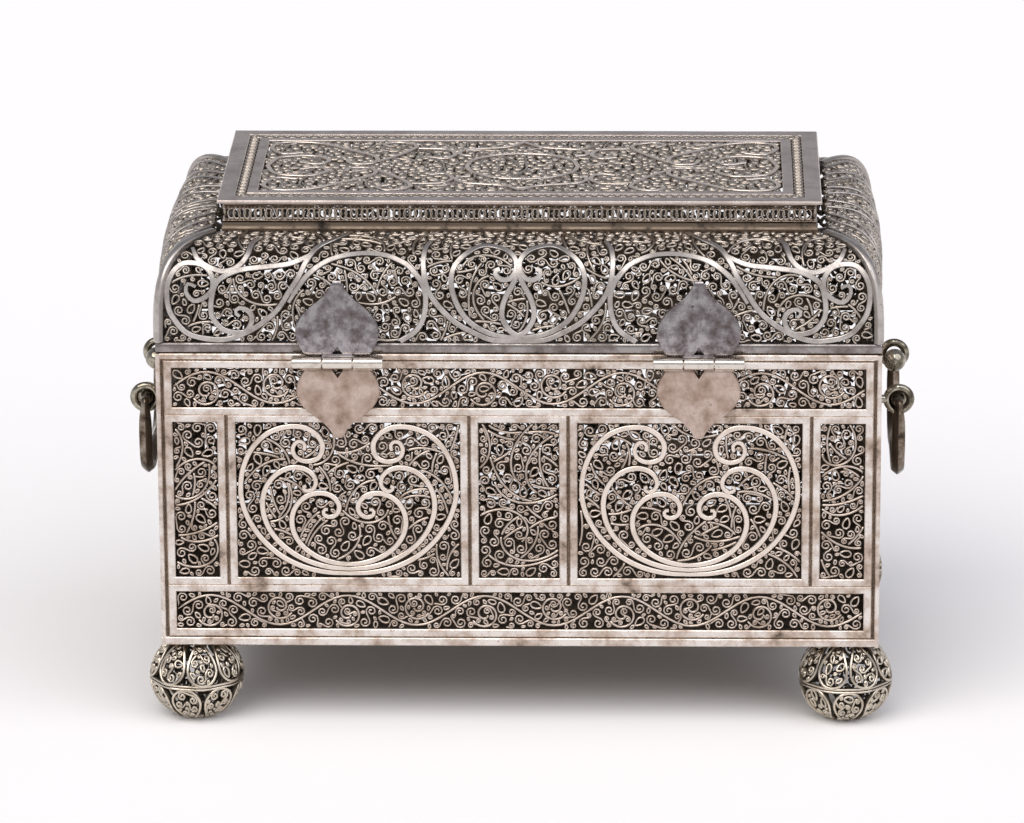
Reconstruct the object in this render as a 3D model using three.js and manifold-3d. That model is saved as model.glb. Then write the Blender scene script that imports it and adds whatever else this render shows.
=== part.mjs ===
// A silver filigree casket: an oblong box of framed panels on four ball feet, with a hinged
// lid rounded on all four sides, a raised platform on the lid, and a drop handle at each end.
// Millimetres, +X along the box, -Y the hinge side, +Z up, z = 0 under the feet.
import * as THREE from 'three';
import Module from 'manifold-3d';
import { mergeVertices } from 'three/addons/utils/BufferGeometryUtils.js';

const wasm = await Module();
wasm.setup();

// Box
const bodyLength = 190;
const bodyDepth = 105;
const bodyHeight = 81;
const wallThickness = 2;
const floorThickness = 1.5;

// Frames of flat strip round each panel, seen from outside
const panelRecess = 0.8;
const endStrip = 4.1;
const bottomRail = 4.7;
const lowerBandHeight = 10.3;
const midRail = 4.1;
const upperBandHeight = 10.8;
const topRail = 4;
const stile = 4.8;
const centrePanelWidth = 21.2;
const scrollPanelWidth = 59;

// Flat ribbons soldered over the filigree
const ribbonWidth = 1.4;
const ribbonStand = 0.5;
const ribbonSunk = 0.6;
const chordSlack = 1;

// Lid
const lidHeight = 28.3;
const lidShell = 1.3;
const rimHeight = 3;
const rimRound = 0.5;
const curveReachSide = 18.3;
const curveReachEnd = 14;
const curvePower = 3.2;
const endBulge = 2.4;

// Platform on the lid
const plateLength = 158.7;
const plateDepth = 70.3;
const plateThickness = 1.6;
const plateOverhang = 1;
const plateOuterStrip = 4.5;
const plateBand = 2.8;
const plateInnerStrip = 2.8;
const plateRecess = 0.5;
const baseHeight = 2.4;
const latticeHeight = 3.6;
const neckHeight = 0.9;
const friezeThickness = 1.8;
const latticeInset = 0.4;

// Feet
const footHeight = 22;
const footRadius = 12.8;
const footInset = 8.5;
const footPadRadius = 5;
const footLobes = 8;
const footLobeDepth = 0.3;

// Hinges
const hingeSpread = 94.4;
const barrelRadius = 1.6;
const barrelLength = 23.8;
const knuckleGap = 0.3;
const pinRadius = 0.6;
const pinClearance = 0.15;
const hingeStandOff = 2.05;
const hingeDrop = 1.8;
const leafThickness = 0.9;
const leafWidth = 21.8;
const lowerLeafHeight = 19.4;
const upperLeafHeight = 18.8;
const notchWidth = 3.2;
const notchDepth = 2.2;

// Handles
const eyeSpread = 41;
const eyeDrop = 22;
const eyeRadius = 3.1;
const eyeWire = 1.1;
const eyeGap = 1.4;
const shankRadius = 1.2;
const bailWire = 1.1;
const bailSlack = 0.45;
const bailBall = 3.1;
const bailSideGap = 0.5;
const bailDrop = 20.5;
const bailBarDepth = 4.2;
const bailBarWidth = 3.4;
const contactGap = 0.3;

// How far a cutting solid reaches past what it cuts
const cutPast = 1;

// Places that follow from the sizes. The feet stand out further than the hinges, so the
// middle of the box is over the origin.
const barrelY = -bodyDepth / 2 - hingeStandOff;
const jointZ = footHeight + bodyHeight;
const barrelZ = jointZ - hingeDrop;
const eyeZ = jointZ - eyeDrop;

const silver = { color: 0xb9afa6, roughness: 0.38, metalness: 0.9 };
const darkSilver = { color: 0x7d766c, roughness: 0.35, metalness: 0.9 };

const casket = new THREE.Group();

function addPiece(name, geometry, finish) {
  const mesh = new THREE.Mesh(geometry, new THREE.MeshStandardMaterial(finish));
  mesh.name = name;
  casket.add(mesh);
}

// Closed mesh to boolean solid, with its faces turned outwards
function solid(geometry) {
  const bare = geometry.clone();
  bare.deleteAttribute('normal');
  bare.deleteAttribute('uv');
  const merged = mergeVertices(bare, 1e-5);
  const vertProperties = new Float32Array(merged.attributes.position.array);
  const triVerts = new Uint32Array(merged.index.array);
  const [a, b, c] = [new THREE.Vector3(), new THREE.Vector3(), new THREE.Vector3()];
  let volume = 0;
  for (let i = 0; i < triVerts.length; i += 3) {
    a.fromArray(vertProperties, triVerts[i] * 3);
    b.fromArray(vertProperties, triVerts[i + 1] * 3);
    c.fromArray(vertProperties, triVerts[i + 2] * 3);
    volume += a.dot(b.cross(c));
  }
  if (volume < 0) triVerts.reverse();
  return new wasm.Manifold(new wasm.Mesh({ numProp: 3, vertProperties, triVerts }));
}

function toGeometry(manifold) {
  const mesh = manifold.getMesh();
  const geometry = new THREE.BufferGeometry();
  geometry.setAttribute('position', new THREE.BufferAttribute(mesh.vertProperties, 3));
  geometry.setIndex(new THREE.BufferAttribute(mesh.triVerts, 1));
  return geometry;
}

function joined(solids) {
  return solids.reduce((whole, next) => whole.add(next));
}

function box(x0, x1, y0, y1, z0, z1) {
  const geometry = new THREE.BoxGeometry(x1 - x0, y1 - y0, z1 - z0);
  geometry.translate((x0 + x1) / 2, (y0 + y1) / 2, (z0 + z1) / 2);
  return solid(geometry);
}

function rodAlongX(radius, length, sides, x, y, z) {
  const geometry = new THREE.CylinderGeometry(radius, radius, length, sides);
  geometry.rotateZ(Math.PI / 2);
  geometry.translate(x, y, z);
  return solid(geometry);
}

// Solid through a row of rings that have the same number of points, closed at both ends
function loft(rings) {
  const count = rings[0].length;
  const positions = rings.flat().flatMap((p) => [p.x, p.y, p.z]);
  const index = [];
  for (let r = 0; r < rings.length - 1; r += 1) {
    const here = r * count;
    const next = here + count;
    for (let k = 0; k < count; k += 1) {
      const k1 = (k + 1) % count;
      index.push(here + k, here + k1, next + k1, here + k, next + k1, next + k);
    }
  }
  const top = (rings.length - 1) * count;
  for (let k = 1; k < count - 1; k += 1) {
    index.push(0, k + 1, k, top, top + k, top + k + 1);
  }
  const geometry = new THREE.BufferGeometry();
  geometry.setAttribute('position', new THREE.Float32BufferAttribute(positions, 3));
  geometry.setIndex(index);
  return solid(geometry);
}

// The fewest spots of a dense line that keep it within chordSlack of where it was
function thinned(spots) {
  const line = new THREE.Line3(spots[0].point, spots[spots.length - 1].point);
  let [worst, at] = [0, 0];
  spots.slice(1, -1).forEach(({ point }, i) => {
    const near = line.closestPointToPoint(point, true, new THREE.Vector3());
    const gap = near.distanceTo(point);
    if (gap > worst) [worst, at] = [gap, i + 1];
  });
  if (worst < chordSlack) return [spots[0], spots[spots.length - 1]];
  return [...thinned(spots.slice(0, at + 1)), ...thinned(spots.slice(at)).slice(1)];
}

// Ribbon of flat strip laid along a path of (u, v) points on a surface, where
// surface(u, v) gives the point on the metal and the outward direction there
function ribbon(path, surface) {
  const curve = new THREE.CatmullRomCurve3(path.map(([u, v]) => new THREE.Vector3(u, v, 0)));
  const dense = curve.getPoints(path.length * 8).map((p) => surface(p.x, p.y));
  const spots = thinned(dense);
  const rings = spots.map(({ point, out }, i) => {
    const before = spots[Math.max(i - 1, 0)].point;
    const after = spots[Math.min(i + 1, spots.length - 1)].point;
    const along = after.clone().sub(before).normalize();
    const side = out.clone().cross(along).normalize().multiplyScalar(ribbonWidth / 2);
    const top = point.clone().addScaledVector(out, ribbonStand);
    const under = point.clone().addScaledVector(out, -ribbonSunk);
    return [
      top.clone().add(side), top.clone().sub(side),
      under.clone().sub(side), under.clone().add(side),
    ];
  });
  return loft(rings);
}

// Log-spiral scroll in a unit half field: it springs from the bottom centre, sweeps out to
// the side and over, and curls in. u runs 0 to 1 to the side, v 0 to 1 up the field.
function springingScroll(reach, rise, shrinkPerQuarter, quarters, points) {
  const decay = -Math.log(shrinkPerQuarter) / (Math.PI / 2);
  const at = (turn) => {
    const f = Math.exp(-decay * turn);
    const s = 1 + decay * decay;
    return [
      (f * (Math.sin(turn) - decay * Math.cos(turn)) + decay) / s,
      (1 - f * (decay * Math.sin(turn) + Math.cos(turn))) / s,
    ];
  };
  const width = at(Math.PI / 2)[0];
  const height = at(Math.PI)[1];
  const path = [];
  for (let i = 0; i <= points; i += 1) {
    const [u, v] = at((i / points) * quarters * (Math.PI / 2));
    path.push([(u / width) * reach, (v / height) * rise]);
  }
  return path;
}

const fieldScrolls = [
  { reach: 0.97, rise: 0.95, shrink: 0.55, quarters: 5.4 },
  { reach: 0.77, rise: 0.69, shrink: 0.46, quarters: 5 },
  { reach: 0.53, rise: 0.48, shrink: 0.5, quarters: 5 },
];
const scrollPoints = 24;
const scrollFoot = 0.02;
const plainScrolls = [fieldScrolls[0], fieldScrolls[2]];

// Wall in its own frame: u along it, v up, w out of its face
function wall(width, fields, scrolls) {
  const face = wallThickness / 2;
  const cutters = fields.map(({ u0, u1, v0, v1 }) => (
    box(u0, u1, v0, v1, face - panelRecess, face + panelRecess)
  ));
  const plate = box(-width / 2, width / 2, 0, bodyHeight, -face, face);
  const ribbons = fields.filter((field) => field.scrolls).flatMap((field) => {
    const middle = (field.u0 + field.u1) / 2;
    const half = (field.u1 - field.u0) / 2;
    const tall = field.v1 - field.v0;
    return [-1, 1].flatMap((hand) => scrolls.map(({ reach, rise, shrink, quarters }) => {
      const path = springingScroll(reach, rise, shrink, quarters, scrollPoints);
      return ribbon(path, (u, v) => ({
        point: new THREE.Vector3(middle + hand * u * half, field.v0 + (scrollFoot + v) * tall,
          face - panelRecess),
        out: new THREE.Vector3(0, 0, 1),
      }));
    }));
  });
  return joined([plate.subtract(joined(cutters)), ...ribbons]);
}

// Band at the bottom, band at the top, and between them a row of upright fields
function wallFields(width, rowWidths, edge) {
  const inner = width / 2 - edge;
  const rowBottom = bottomRail + lowerBandHeight + midRail;
  const rowTop = bodyHeight - topRail - upperBandHeight - midRail;
  const fields = [
    { u0: -inner, u1: inner, v0: bottomRail, v1: bottomRail + lowerBandHeight },
    { u0: -inner, u1: inner, v0: rowTop + midRail, v1: bodyHeight - topRail },
  ];
  let u = -inner;
  rowWidths.forEach(({ size, scrolls }) => {
    fields.push({ u0: u, u1: u + size, v0: rowBottom, v1: rowTop, scrolls });
    u += size + stile;
  });
  return fields;
}

// The wall's own frame turned to its side of the box: along, up and out are world directions
function placeWall(manifold, along, out, reach) {
  const up = new THREE.Vector3(0, 0, 1);
  const matrix = new THREE.Matrix4().makeBasis(along, up, out);
  matrix.setPosition(out.clone().multiplyScalar(reach - wallThickness / 2).setZ(footHeight));
  const geometry = toGeometry(manifold);
  geometry.applyMatrix4(matrix);
  return geometry;
}

const endWallWidth = bodyDepth - 2 * wallThickness;
const endWallEdge = endStrip - wallThickness;
const longFlank = (bodyLength - 2 * endStrip - 2 * scrollPanelWidth - centrePanelWidth
  - 4 * stile) / 2;
const endFlank = (endWallWidth - 2 * endWallEdge - scrollPanelWidth - 2 * stile) / 2;
const longFields = wallFields(bodyLength, [
  { size: longFlank },
  { size: scrollPanelWidth, scrolls: true },
  { size: centrePanelWidth },
  { size: scrollPanelWidth, scrolls: true },
  { size: longFlank },
], endStrip);
const endFields = wallFields(endWallWidth, [
  { size: endFlank },
  { size: scrollPanelWidth, scrolls: true },
  { size: endFlank },
], endWallEdge);
const backWall = wall(bodyLength, longFields, fieldScrolls);
const frontWall = wall(bodyLength, longFields, plainScrolls);
// The shanks of the ring eyes stand on the end panels, between the edges of cut ribbons
const shankRoom = joined([-1, 1].map((side) => {
  const radius = shankRadius + contactGap;
  const rod = new THREE.CylinderGeometry(radius, radius, 2 * panelRecess, 8);
  rod.rotateX(Math.PI / 2);
  rod.translate(side * eyeSpread / 2, eyeZ - footHeight, wallThickness / 2);
  return solid(rod);
}));
const endWall = wall(endWallWidth, endFields, plainScrolls).subtract(shankRoom);
const [east, west] = [new THREE.Vector3(1, 0, 0), new THREE.Vector3(-1, 0, 0)];
const [north, south] = [new THREE.Vector3(0, 1, 0), new THREE.Vector3(0, -1, 0)];
addPiece('back_wall', placeWall(backWall, east, south, bodyDepth / 2), silver);
addPiece('front_wall', placeWall(frontWall, west, north, bodyDepth / 2), silver);
addPiece('right_wall', placeWall(endWall, north, east, bodyLength / 2), silver);
addPiece('left_wall', placeWall(endWall, south, west, bodyLength / 2), silver);

const floorHalfLength = bodyLength / 2 - wallThickness;
const floorHalfDepth = bodyDepth / 2 - wallThickness;
addPiece('floor_plate', toGeometry(box(-floorHalfLength, floorHalfLength,
  -floorHalfDepth, floorHalfDepth, footHeight, footHeight + floorThickness)), silver);

// Feet: flattened balls of lobed cells with a flat pad above and below
function footSolid(x, y) {
  const half = footHeight / 2;
  const padHeight = half * Math.sqrt(1 - (footPadRadius / footRadius) ** 2);
  const stretch = half / padHeight;
  const reach = Math.acos(footPadRadius / footRadius);
  const [levels, sides] = [6, footLobes * 2];
  const rings = [];
  for (let i = 0; i <= levels; i += 1) {
    const tilt = reach * (2 * i / levels - 1);
    const radius = footRadius * Math.cos(tilt);
    const z = half + half * Math.sin(tilt) * stretch;
    const lobe = footLobeDepth * (i === 0 || i === levels ? 0 : 1);
    rings.push(Array.from({ length: sides }, (_, k) => {
      const turn = (2 * Math.PI * k) / sides;
      const r = radius - lobe * (k % 2);
      return new THREE.Vector3(x + r * Math.cos(turn), y + r * Math.sin(turn), z);
    }));
  }
  return loft(rings);
}

const sideNames = [[-1, 'left'], [1, 'right']];
const depthNames = [[-1, 'back'], [1, 'front']];
for (const [sx, sideName] of sideNames) {
  for (const [sy, depthName] of depthNames) {
    const foot = footSolid(sx * (bodyLength / 2 - footInset), sy * (bodyDepth / 2 - footInset));
    addPiece(`foot_${depthName}_${sideName}`, toGeometry(foot), darkSilver);
  }
}

// Lid curve: turn 0 is the top of the rim and a quarter turn is the flat top
function lidCurve(turn) {
  const inset = 1 - Math.cos(turn) ** (2 / curvePower);
  const rise = Math.sin(turn) ** (2 / curvePower);
  return { inset: Math.max(0, inset), rise };
}

// The same curve by the share v of its height-and-reach, with even steps along the metal
const curveSteps = 96;
const curveTable = (() => {
  const tall = lidHeight - rimHeight;
  const rows = [];
  let run = 0;
  for (let i = 0; i <= curveSteps; i += 1) {
    const spot = lidCurve((i / curveSteps) * (Math.PI / 2));
    const before = rows[i - 1] ?? spot;
    run += Math.hypot((spot.inset - before.inset) * curveReachSide,
      (spot.rise - before.rise) * tall);
    rows.push({ ...spot, run });
  }
  return rows;
})();

function curveAt(v) {
  const target = Math.min(Math.max(v, 0), 1) * curveTable[curveTable.length - 1].run;
  const i = Math.max(1, curveTable.findIndex((row) => row.run >= target - 1e-9));
  const [a, b] = [curveTable[i - 1], curveTable[i]];
  const share = (target - a.run) / Math.max(b.run - a.run, 1e-9);
  return {
    inset: a.inset + (b.inset - a.inset) * share,
    rise: a.rise + (b.rise - a.rise) * share,
  };
}

// Half sizes of the lid at a share v up its curve, and how far its ends swell there
function lidLevel(v, shell = 0) {
  const { inset, rise } = curveAt(v);
  return {
    halfLength: bodyLength / 2 - rimRound - shell - curveReachEnd * inset,
    halfDepth: bodyDepth / 2 - rimRound - shell - curveReachSide * inset,
    z: jointZ + rimHeight + (lidHeight - rimHeight) * rise - shell * rise,
    swell: endBulge * Math.sin(Math.PI * Math.min(1, v)),
  };
}

const endSteps = 4;
function lidRing({ halfLength, halfDepth, z, swell }) {
  const ring = [];
  for (const hand of [1, -1]) {
    for (let i = 0; i <= endSteps; i += 1) {
      const share = 2 * i / endSteps - 1;
      ring.push(new THREE.Vector3(hand * (halfLength + swell * (1 - share * share)),
        hand * share * halfDepth, z));
    }
  }
  return ring;
}

const lidLevels = [0, 0.38, 0.54, 0.66, 0.8, 1];
function rimLevel(inset, z) {
  const [halfLength, halfDepth] = [bodyLength / 2 - inset, bodyDepth / 2 - inset];
  return { halfLength, halfDepth, z: jointZ + z, swell: 0 };
}

const friezeHalfLength = plateLength / 2 - plateOverhang;
const friezeHalfDepth = plateDepth / 2 - plateOverhang;
const openHalfLength = friezeHalfLength - friezeThickness;
const openHalfDepth = friezeHalfDepth - friezeThickness;
const lidTopZ = jointZ + lidHeight;

// Ribbons of one long side of the lid, left half: u is a share of the half length, v of the
// way up the curve. The right half mirrors them, and the plainer far side has the first two.
const farSideRibbons = 2;
const lidRibbons = [
  [[-0.89, 0.4], [-0.912, 0.36], [-0.885, 0.3], [-0.845, 0.38], [-0.855, 0.52], [-0.92, 0.56],
    [-0.963, 0.38], [-0.944, 0.16], [-0.87, 0.05], [-0.748, 0.09], [-0.657, 0.25],
    [-0.603, 0.47], [-0.552, 0.71], [-0.48, 0.88]],
  [[-0.63, 0.26], [-0.572, 0.5], [-0.439, 0.66], [-0.327, 0.59], [-0.27, 0.38],
    [-0.28, 0.14], [-0.34, 0.04]],
  [[-0.235, 0.8], [-0.25, 0.55], [-0.21, 0.28], [-0.119, 0.1], [0, 0.04]],
  [[-0.77, 0.19], [-0.764, 0.25], [-0.735, 0.2], [-0.75, 0.13], [-0.79, 0.15], [-0.825, 0.3],
    [-0.8, 0.45], [-0.706, 0.54], [-0.62, 0.56]],
  [[0, 0.14], [-0.08, 0.18], [-0.15, 0.32], [-0.165, 0.53], [-0.097, 0.72], [-0.02, 0.62],
    [-0.03, 0.47], [-0.06, 0.5]],
];

// Tongue-shaped ribbons of the lid's ends: each spans this share of its part of the end
const tongues = 5;
const tongueSpan = 0.82;
const tonguePath = [[-1, 0.62], [-0.75, 0.22], [0, 0.08], [0.75, 0.22], [1, 0.62]];

// A spot of the lid's flat facets at a share v up the curve
function facetLevel(v) {
  const share = Math.min(Math.max(v, 0), 1);
  const i = Math.max(1, lidLevels.findIndex((level) => level >= share));
  const [low, high] = [lidLevel(lidLevels[i - 1]), lidLevel(lidLevels[i])];
  const t = (share - lidLevels[i - 1]) / (lidLevels[i] - lidLevels[i - 1]);
  const mix = (key) => low[key] + (high[key] - low[key]) * t;
  return { halfLength: mix('halfLength'), halfDepth: mix('halfDepth'), z: mix('z'),
    swell: mix('swell'), low, high };
}

function lidSideSurface(sy, hand) {
  return (u, v) => {
    const { halfLength, halfDepth, z, low, high } = facetLevel(v);
    const out = new THREE.Vector3(0, sy * (high.z - low.z), low.halfDepth - high.halfDepth);
    return { point: new THREE.Vector3(hand * u * halfLength, sy * halfDepth, z),
      out: out.normalize() };
  };
}

function lidEndSurface(sx) {
  return (u, v) => {
    const { halfLength, halfDepth, z, swell, low, high } = facetLevel(v);
    const out = new THREE.Vector3(sx * (high.z - low.z), 0,
      low.halfLength + low.swell - high.halfLength - high.swell);
    const x = halfLength + swell * (1 - u * u);
    return { point: new THREE.Vector3(sx * x, u * halfDepth, z), out: out.normalize() };
  };
}

function lidSolid() {
  const outer = loft([
    lidRing(rimLevel(rimRound, 0)),
    lidRing(rimLevel(0, rimRound)),
    lidRing(rimLevel(0, rimHeight - rimRound)),
    ...lidLevels.map((v) => lidRing(lidLevel(v))),
  ]);
  const inner = loft([
    lidRing(rimLevel(rimRound + lidShell, -lidShell)),
    ...lidLevels.map((v) => lidRing(lidLevel(v, lidShell))),
  ]);
  const opening = box(-openHalfLength, openHalfLength, -openHalfDepth, openHalfDepth,
    lidTopZ - 2 * lidShell, lidTopZ + lidShell);
  const ribbons = [];
  for (const sy of [-1, 1]) {
    for (const hand of [-1, 1]) {
      const paths = sy < 0 ? lidRibbons : lidRibbons.slice(0, farSideRibbons);
      paths.forEach((path) => ribbons.push(ribbon(path, lidSideSurface(sy, hand))));
    }
  }
  for (const sx of [-1, 1]) {
    for (let i = 0; i < tongues; i += 1) {
      const middle = (2 * i + 1) / tongues - 1;
      const path = tonguePath.map(([u, v]) => [middle + (u * tongueSpan) / tongues, v]);
      ribbons.push(ribbon(path, lidEndSurface(sx)));
    }
  }
  const shell = outer.subtract(inner).subtract(opening);
  return joined([shell, ...ribbons]);
}
addPiece('lid_dome', toGeometry(lidSolid()), silver);

// Platform: a frieze round its foot and a framed plate on top
function frameRing(halfLength, halfDepth, z0, z1) {
  return box(-halfLength, halfLength, -halfDepth, halfDepth, z0, z1);
}
const latticeZ = lidTopZ + baseHeight;
const neckZ = latticeZ + latticeHeight;
const plateZ = neckZ + neckHeight;
const frieze = joined([
  frameRing(friezeHalfLength, friezeHalfDepth, lidTopZ, latticeZ),
  frameRing(friezeHalfLength - latticeInset, friezeHalfDepth - latticeInset, latticeZ, neckZ),
  frameRing(friezeHalfLength - 2 * latticeInset, friezeHalfDepth - 2 * latticeInset, neckZ,
    plateZ),
]).subtract(frameRing(openHalfLength, openHalfDepth, lidTopZ - cutPast, plateZ + cutPast));
addPiece('platform_frieze', toGeometry(frieze), silver);

// Ribbons of one quarter of the plate's field: u and v are shares of its half sizes
const plateRibbons = [
  [[-0.86, 0.14], [-0.79, 0.06], [-0.75, 0.2], [-0.8, 0.37], [-0.87, 0.39],
    [-0.95, 0.3], [-0.985, 0]],
  [[-0.86, 0.52], [-0.94, 0.48], [-0.985, 0.75], [-0.93, 0.94], [-0.8, 0.9],
    [-0.665, 0.6], [-0.57, 0.34], [-0.58, 0.1], [-0.66, 0.08], [-0.68, 0.24]],
  [[-0.51, 0.76], [-0.55, 0.84], [-0.5, 0.95], [-0.42, 0.8], [-0.47, 0.48],
    [-0.56, 0.16]],
  [[-0.2, 0.4], [-0.25, 0.47], [-0.22, 0.65], [-0.07, 0.76], [0, 0.95]],
  [[-0.215, 0], [-0.19, 0.24], [-0.1, 0.45], [0, 0.5]],
];

function plateSolid() {
  const [halfLength, halfDepth] = [plateLength / 2, plateDepth / 2];
  const top = plateZ + plateThickness;
  const slab = (inset) => box(-halfLength + inset, halfLength - inset, -halfDepth + inset,
    halfDepth - inset, top - plateRecess, top + plateRecess);
  const bandEdge = plateOuterStrip + plateBand;
  const fieldEdge = bandEdge + plateInnerStrip;
  const groove = slab(plateOuterStrip).subtract(slab(bandEdge));
  const body = frameRing(halfLength, halfDepth, plateZ, top)
    .subtract(groove).subtract(slab(fieldEdge));
  const ribbons = [];
  for (const sx of [-1, 1]) {
    for (const sy of [-1, 1]) {
      plateRibbons.forEach((path) => {
        ribbons.push(ribbon(path, (u, v) => ({
          point: new THREE.Vector3(sx * u * (halfLength - fieldEdge),
            sy * v * (halfDepth - fieldEdge), top - plateRecess),
          out: new THREE.Vector3(0, 0, 1),
        })));
      });
    }
  }
  return joined([body, ...ribbons]);
}
addPiece('platform_plate', toGeometry(plateSolid()), silver);

// Spade-shaped hinge leaf: half widths as shares, from the barrel to the point
const leafShares = [0.86, 0.95, 1, 1, 0.94, 0.8, 0.6, 0.4, 0.24, 0.14];
function leafHalfWidth(share) {
  const spot = share * (leafShares.length - 1);
  const i = Math.min(leafShares.length - 2, Math.floor(spot));
  return (leafWidth / 2) * (leafShares[i] + (leafShares[i + 1] - leafShares[i]) * (spot - i));
}

// section(run) gives the point on the leaf's inner face at that length, and the way out
function leafSolid(middle, height, section) {
  const rows = 8;
  const rings = [];
  for (let i = 0; i <= rows; i += 1) {
    const { y, z, outY, outZ } = section((i / rows) * height);
    const half = leafHalfWidth(i / rows);
    const corner = (side, lift) => new THREE.Vector3(middle + side * half,
      y + outY * lift, z + outZ * lift);
    rings.push([corner(-1, 0), corner(1, 0), corner(1, leafThickness),
      corner(-1, leafThickness)]);
  }
  return loft(rings);
}

function notchSolid(middle, z, towards) {
  const half = notchWidth / 2;
  const slab = (y) => [new THREE.Vector3(middle - half, y, z),
    new THREE.Vector3(middle + half, y, z),
    new THREE.Vector3(middle, y, z + towards * notchDepth)];
  return loft([slab(-bodyDepth / 2 + cutPast), slab(barrelY)]);
}

function knuckle(middle, from, to) {
  return rodAlongX(barrelRadius, to - from, 8, middle + (from + to) / 2, barrelY, barrelZ);
}

// Web from the leaf to its knuckles, as wide as they are
function web(x0, x1, z0, z1) {
  const inner = -bodyDepth / 2 - leafThickness;
  return box(x0, x1, barrelY, -bodyDepth / 2 - contactGap, z0, z1)
    .add(box(x0, x1, inner, -bodyDepth / 2 - contactGap, z0, z1));
}

const knuckleLength = (barrelLength - 2 * knuckleGap) / 3;
const innerEnd = knuckleLength / 2;
const outerEnd = barrelLength / 2;
for (const [hand, sideName] of sideNames) {
  const middle = hand * hingeSpread / 2;
  const bore = rodAlongX(pinRadius + pinClearance, barrelLength + 2 * cutPast, 6, middle,
    barrelY, barrelZ);
  const webReach = barrelRadius + contactGap;

  const lower = leafSolid(middle, lowerLeafHeight, (run) => ({
    y: -bodyDepth / 2, z: barrelZ - webReach - run, outY: -1, outZ: 0,
  }));
  const lowerWebs = [-1, 1].map((side) => {
    const ends = [side * (innerEnd + knuckleGap), side * leafShares[0] * leafWidth / 2];
    return web(middle + Math.min(...ends), middle + Math.max(...ends),
      barrelZ - webReach - contactGap, barrelZ);
  });
  const lowerLeaf = joined([lower, ...lowerWebs,
    knuckle(middle, -outerEnd, -innerEnd - knuckleGap),
    knuckle(middle, innerEnd + knuckleGap, outerEnd)])
    .subtract(notchSolid(middle, barrelZ - webReach, -1))
    .subtract(bore);
  addPiece(`hinge_lower_leaf_${sideName}`, toGeometry(lowerLeaf), silver);

  // The upper leaf lies over the rim and then follows the lid's curve
  const upperStart = barrelZ + webReach;
  const upperSection = (run) => {
    const rimTop = jointZ + rimHeight;
    const z = upperStart + run;
    if (z < rimTop) return { y: -bodyDepth / 2 - contactGap, z, outY: -1, outZ: 0 };
    const v = (z - rimTop) / curveTable[curveTable.length - 1].run;
    const { point, out } = lidSideSurface(-1, 1)(0, v);
    const blend = Math.min(1, (z - rimTop) / rimHeight);
    const stand = contactGap + ribbonStand * blend;
    return { y: point.y + out.y * stand, z: point.z + out.z * stand, outY: out.y,
      outZ: out.z };
  };
  const upper = leafSolid(middle, upperLeafHeight, upperSection);
  const upperLeaf = joined([upper,
    web(middle - innerEnd, middle + innerEnd, barrelZ, upperStart + contactGap),
    knuckle(middle, -innerEnd, innerEnd)])
    .subtract(notchSolid(middle, upperStart + contactGap, 1))
    .subtract(bore);
  addPiece(`hinge_upper_leaf_${sideName}`, toGeometry(upperLeaf), silver);

  addPiece(`hinge_pin_${sideName}`, toGeometry(rodAlongX(pinRadius, barrelLength, 6, middle,
    barrelY, barrelZ)), silver);
}

// Drop handles: a bail whose ends pass through two ring eyes and finish in balls
const eyeOuter = eyeRadius + eyeWire;
const eyeX = bodyLength / 2 + eyeOuter + eyeGap;
function eyeSolid(hand, y) {
  const ring = new THREE.TorusGeometry(eyeRadius, eyeWire, 5, 10);
  ring.rotateX(Math.PI / 2);
  ring.translate(hand * eyeX, y, eyeZ);
  const from = bodyLength / 2 - panelRecess;
  const length = eyeX - eyeRadius - from;
  const shank = rodAlongX(shankRadius, length, 6, hand * (from + length / 2), y, eyeZ);
  return solid(ring).add(shank);
}

// Section of the bail at one spot: a hexagon, wide across the bar and deep down it
const bailSides = 6;
function bailRing(centre, along, across, halfAcross, halfDeep) {
  const deep = along.clone().cross(across);
  return Array.from({ length: bailSides }, (_, k) => {
    const turn = (2 * Math.PI / bailSides) * (k + 0.5);
    return centre.clone().addScaledVector(across, halfAcross * Math.cos(turn))
      .addScaledVector(deep, halfDeep * Math.sin(turn));
  });
}

function bailSolid(hand) {
  const pivotZ = eyeZ - (eyeRadius - eyeWire - bailWire - bailSlack);
  const x = hand * eyeX;
  const armY = eyeSpread / 2 + eyeWire + bailSideGap + bailWire;
  const ballY = eyeSpread / 2 - eyeWire - bailSideGap - bailBall;
  const half = [
    { y: ballY, z: 0, wide: bailWire, deep: bailWire },
    { y: armY - bailWire, z: 0, wide: bailWire, deep: bailWire },
    { y: armY, z: -bailWire, wide: bailWire, deep: bailWire },
    { y: armY, z: -bailDrop * 0.3, wide: bailBarWidth / 2, deep: bailWire * 1.15 },
    { y: armY - bailBarDepth * 0.3, z: -bailDrop * 0.8, wide: bailBarWidth / 2,
      deep: bailBarDepth * 0.4 },
    { y: armY * 0.6, z: -bailDrop, wide: bailBarWidth / 2, deep: bailBarDepth / 2 },
  ];
  const spots = [...half.map((s) => ({ ...s, y: -s.y })),
    { y: 0, z: -bailDrop * 0.94, wide: bailBarWidth / 2, deep: bailBarDepth / 2 },
    ...half.toReversed()];
  const points = spots.map((s) => new THREE.Vector3(x, s.y, pivotZ + s.z));
  const across = new THREE.Vector3(1, 0, 0);
  const rings = points.map((point, i) => {
    const along = points[Math.min(i + 1, points.length - 1)].clone()
      .sub(points[Math.max(i - 1, 0)]).normalize();
    return bailRing(point, along, across, spots[i].wide, spots[i].deep);
  });
  const balls = [-1, 1].map((side) => {
    const ball = new THREE.SphereGeometry(bailBall, 8, 6);
    ball.rotateX(Math.PI / 2);
    ball.translate(x, side * ballY, pivotZ);
    return solid(ball);
  });
  return joined([loft(rings), ...balls]);
}

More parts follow.
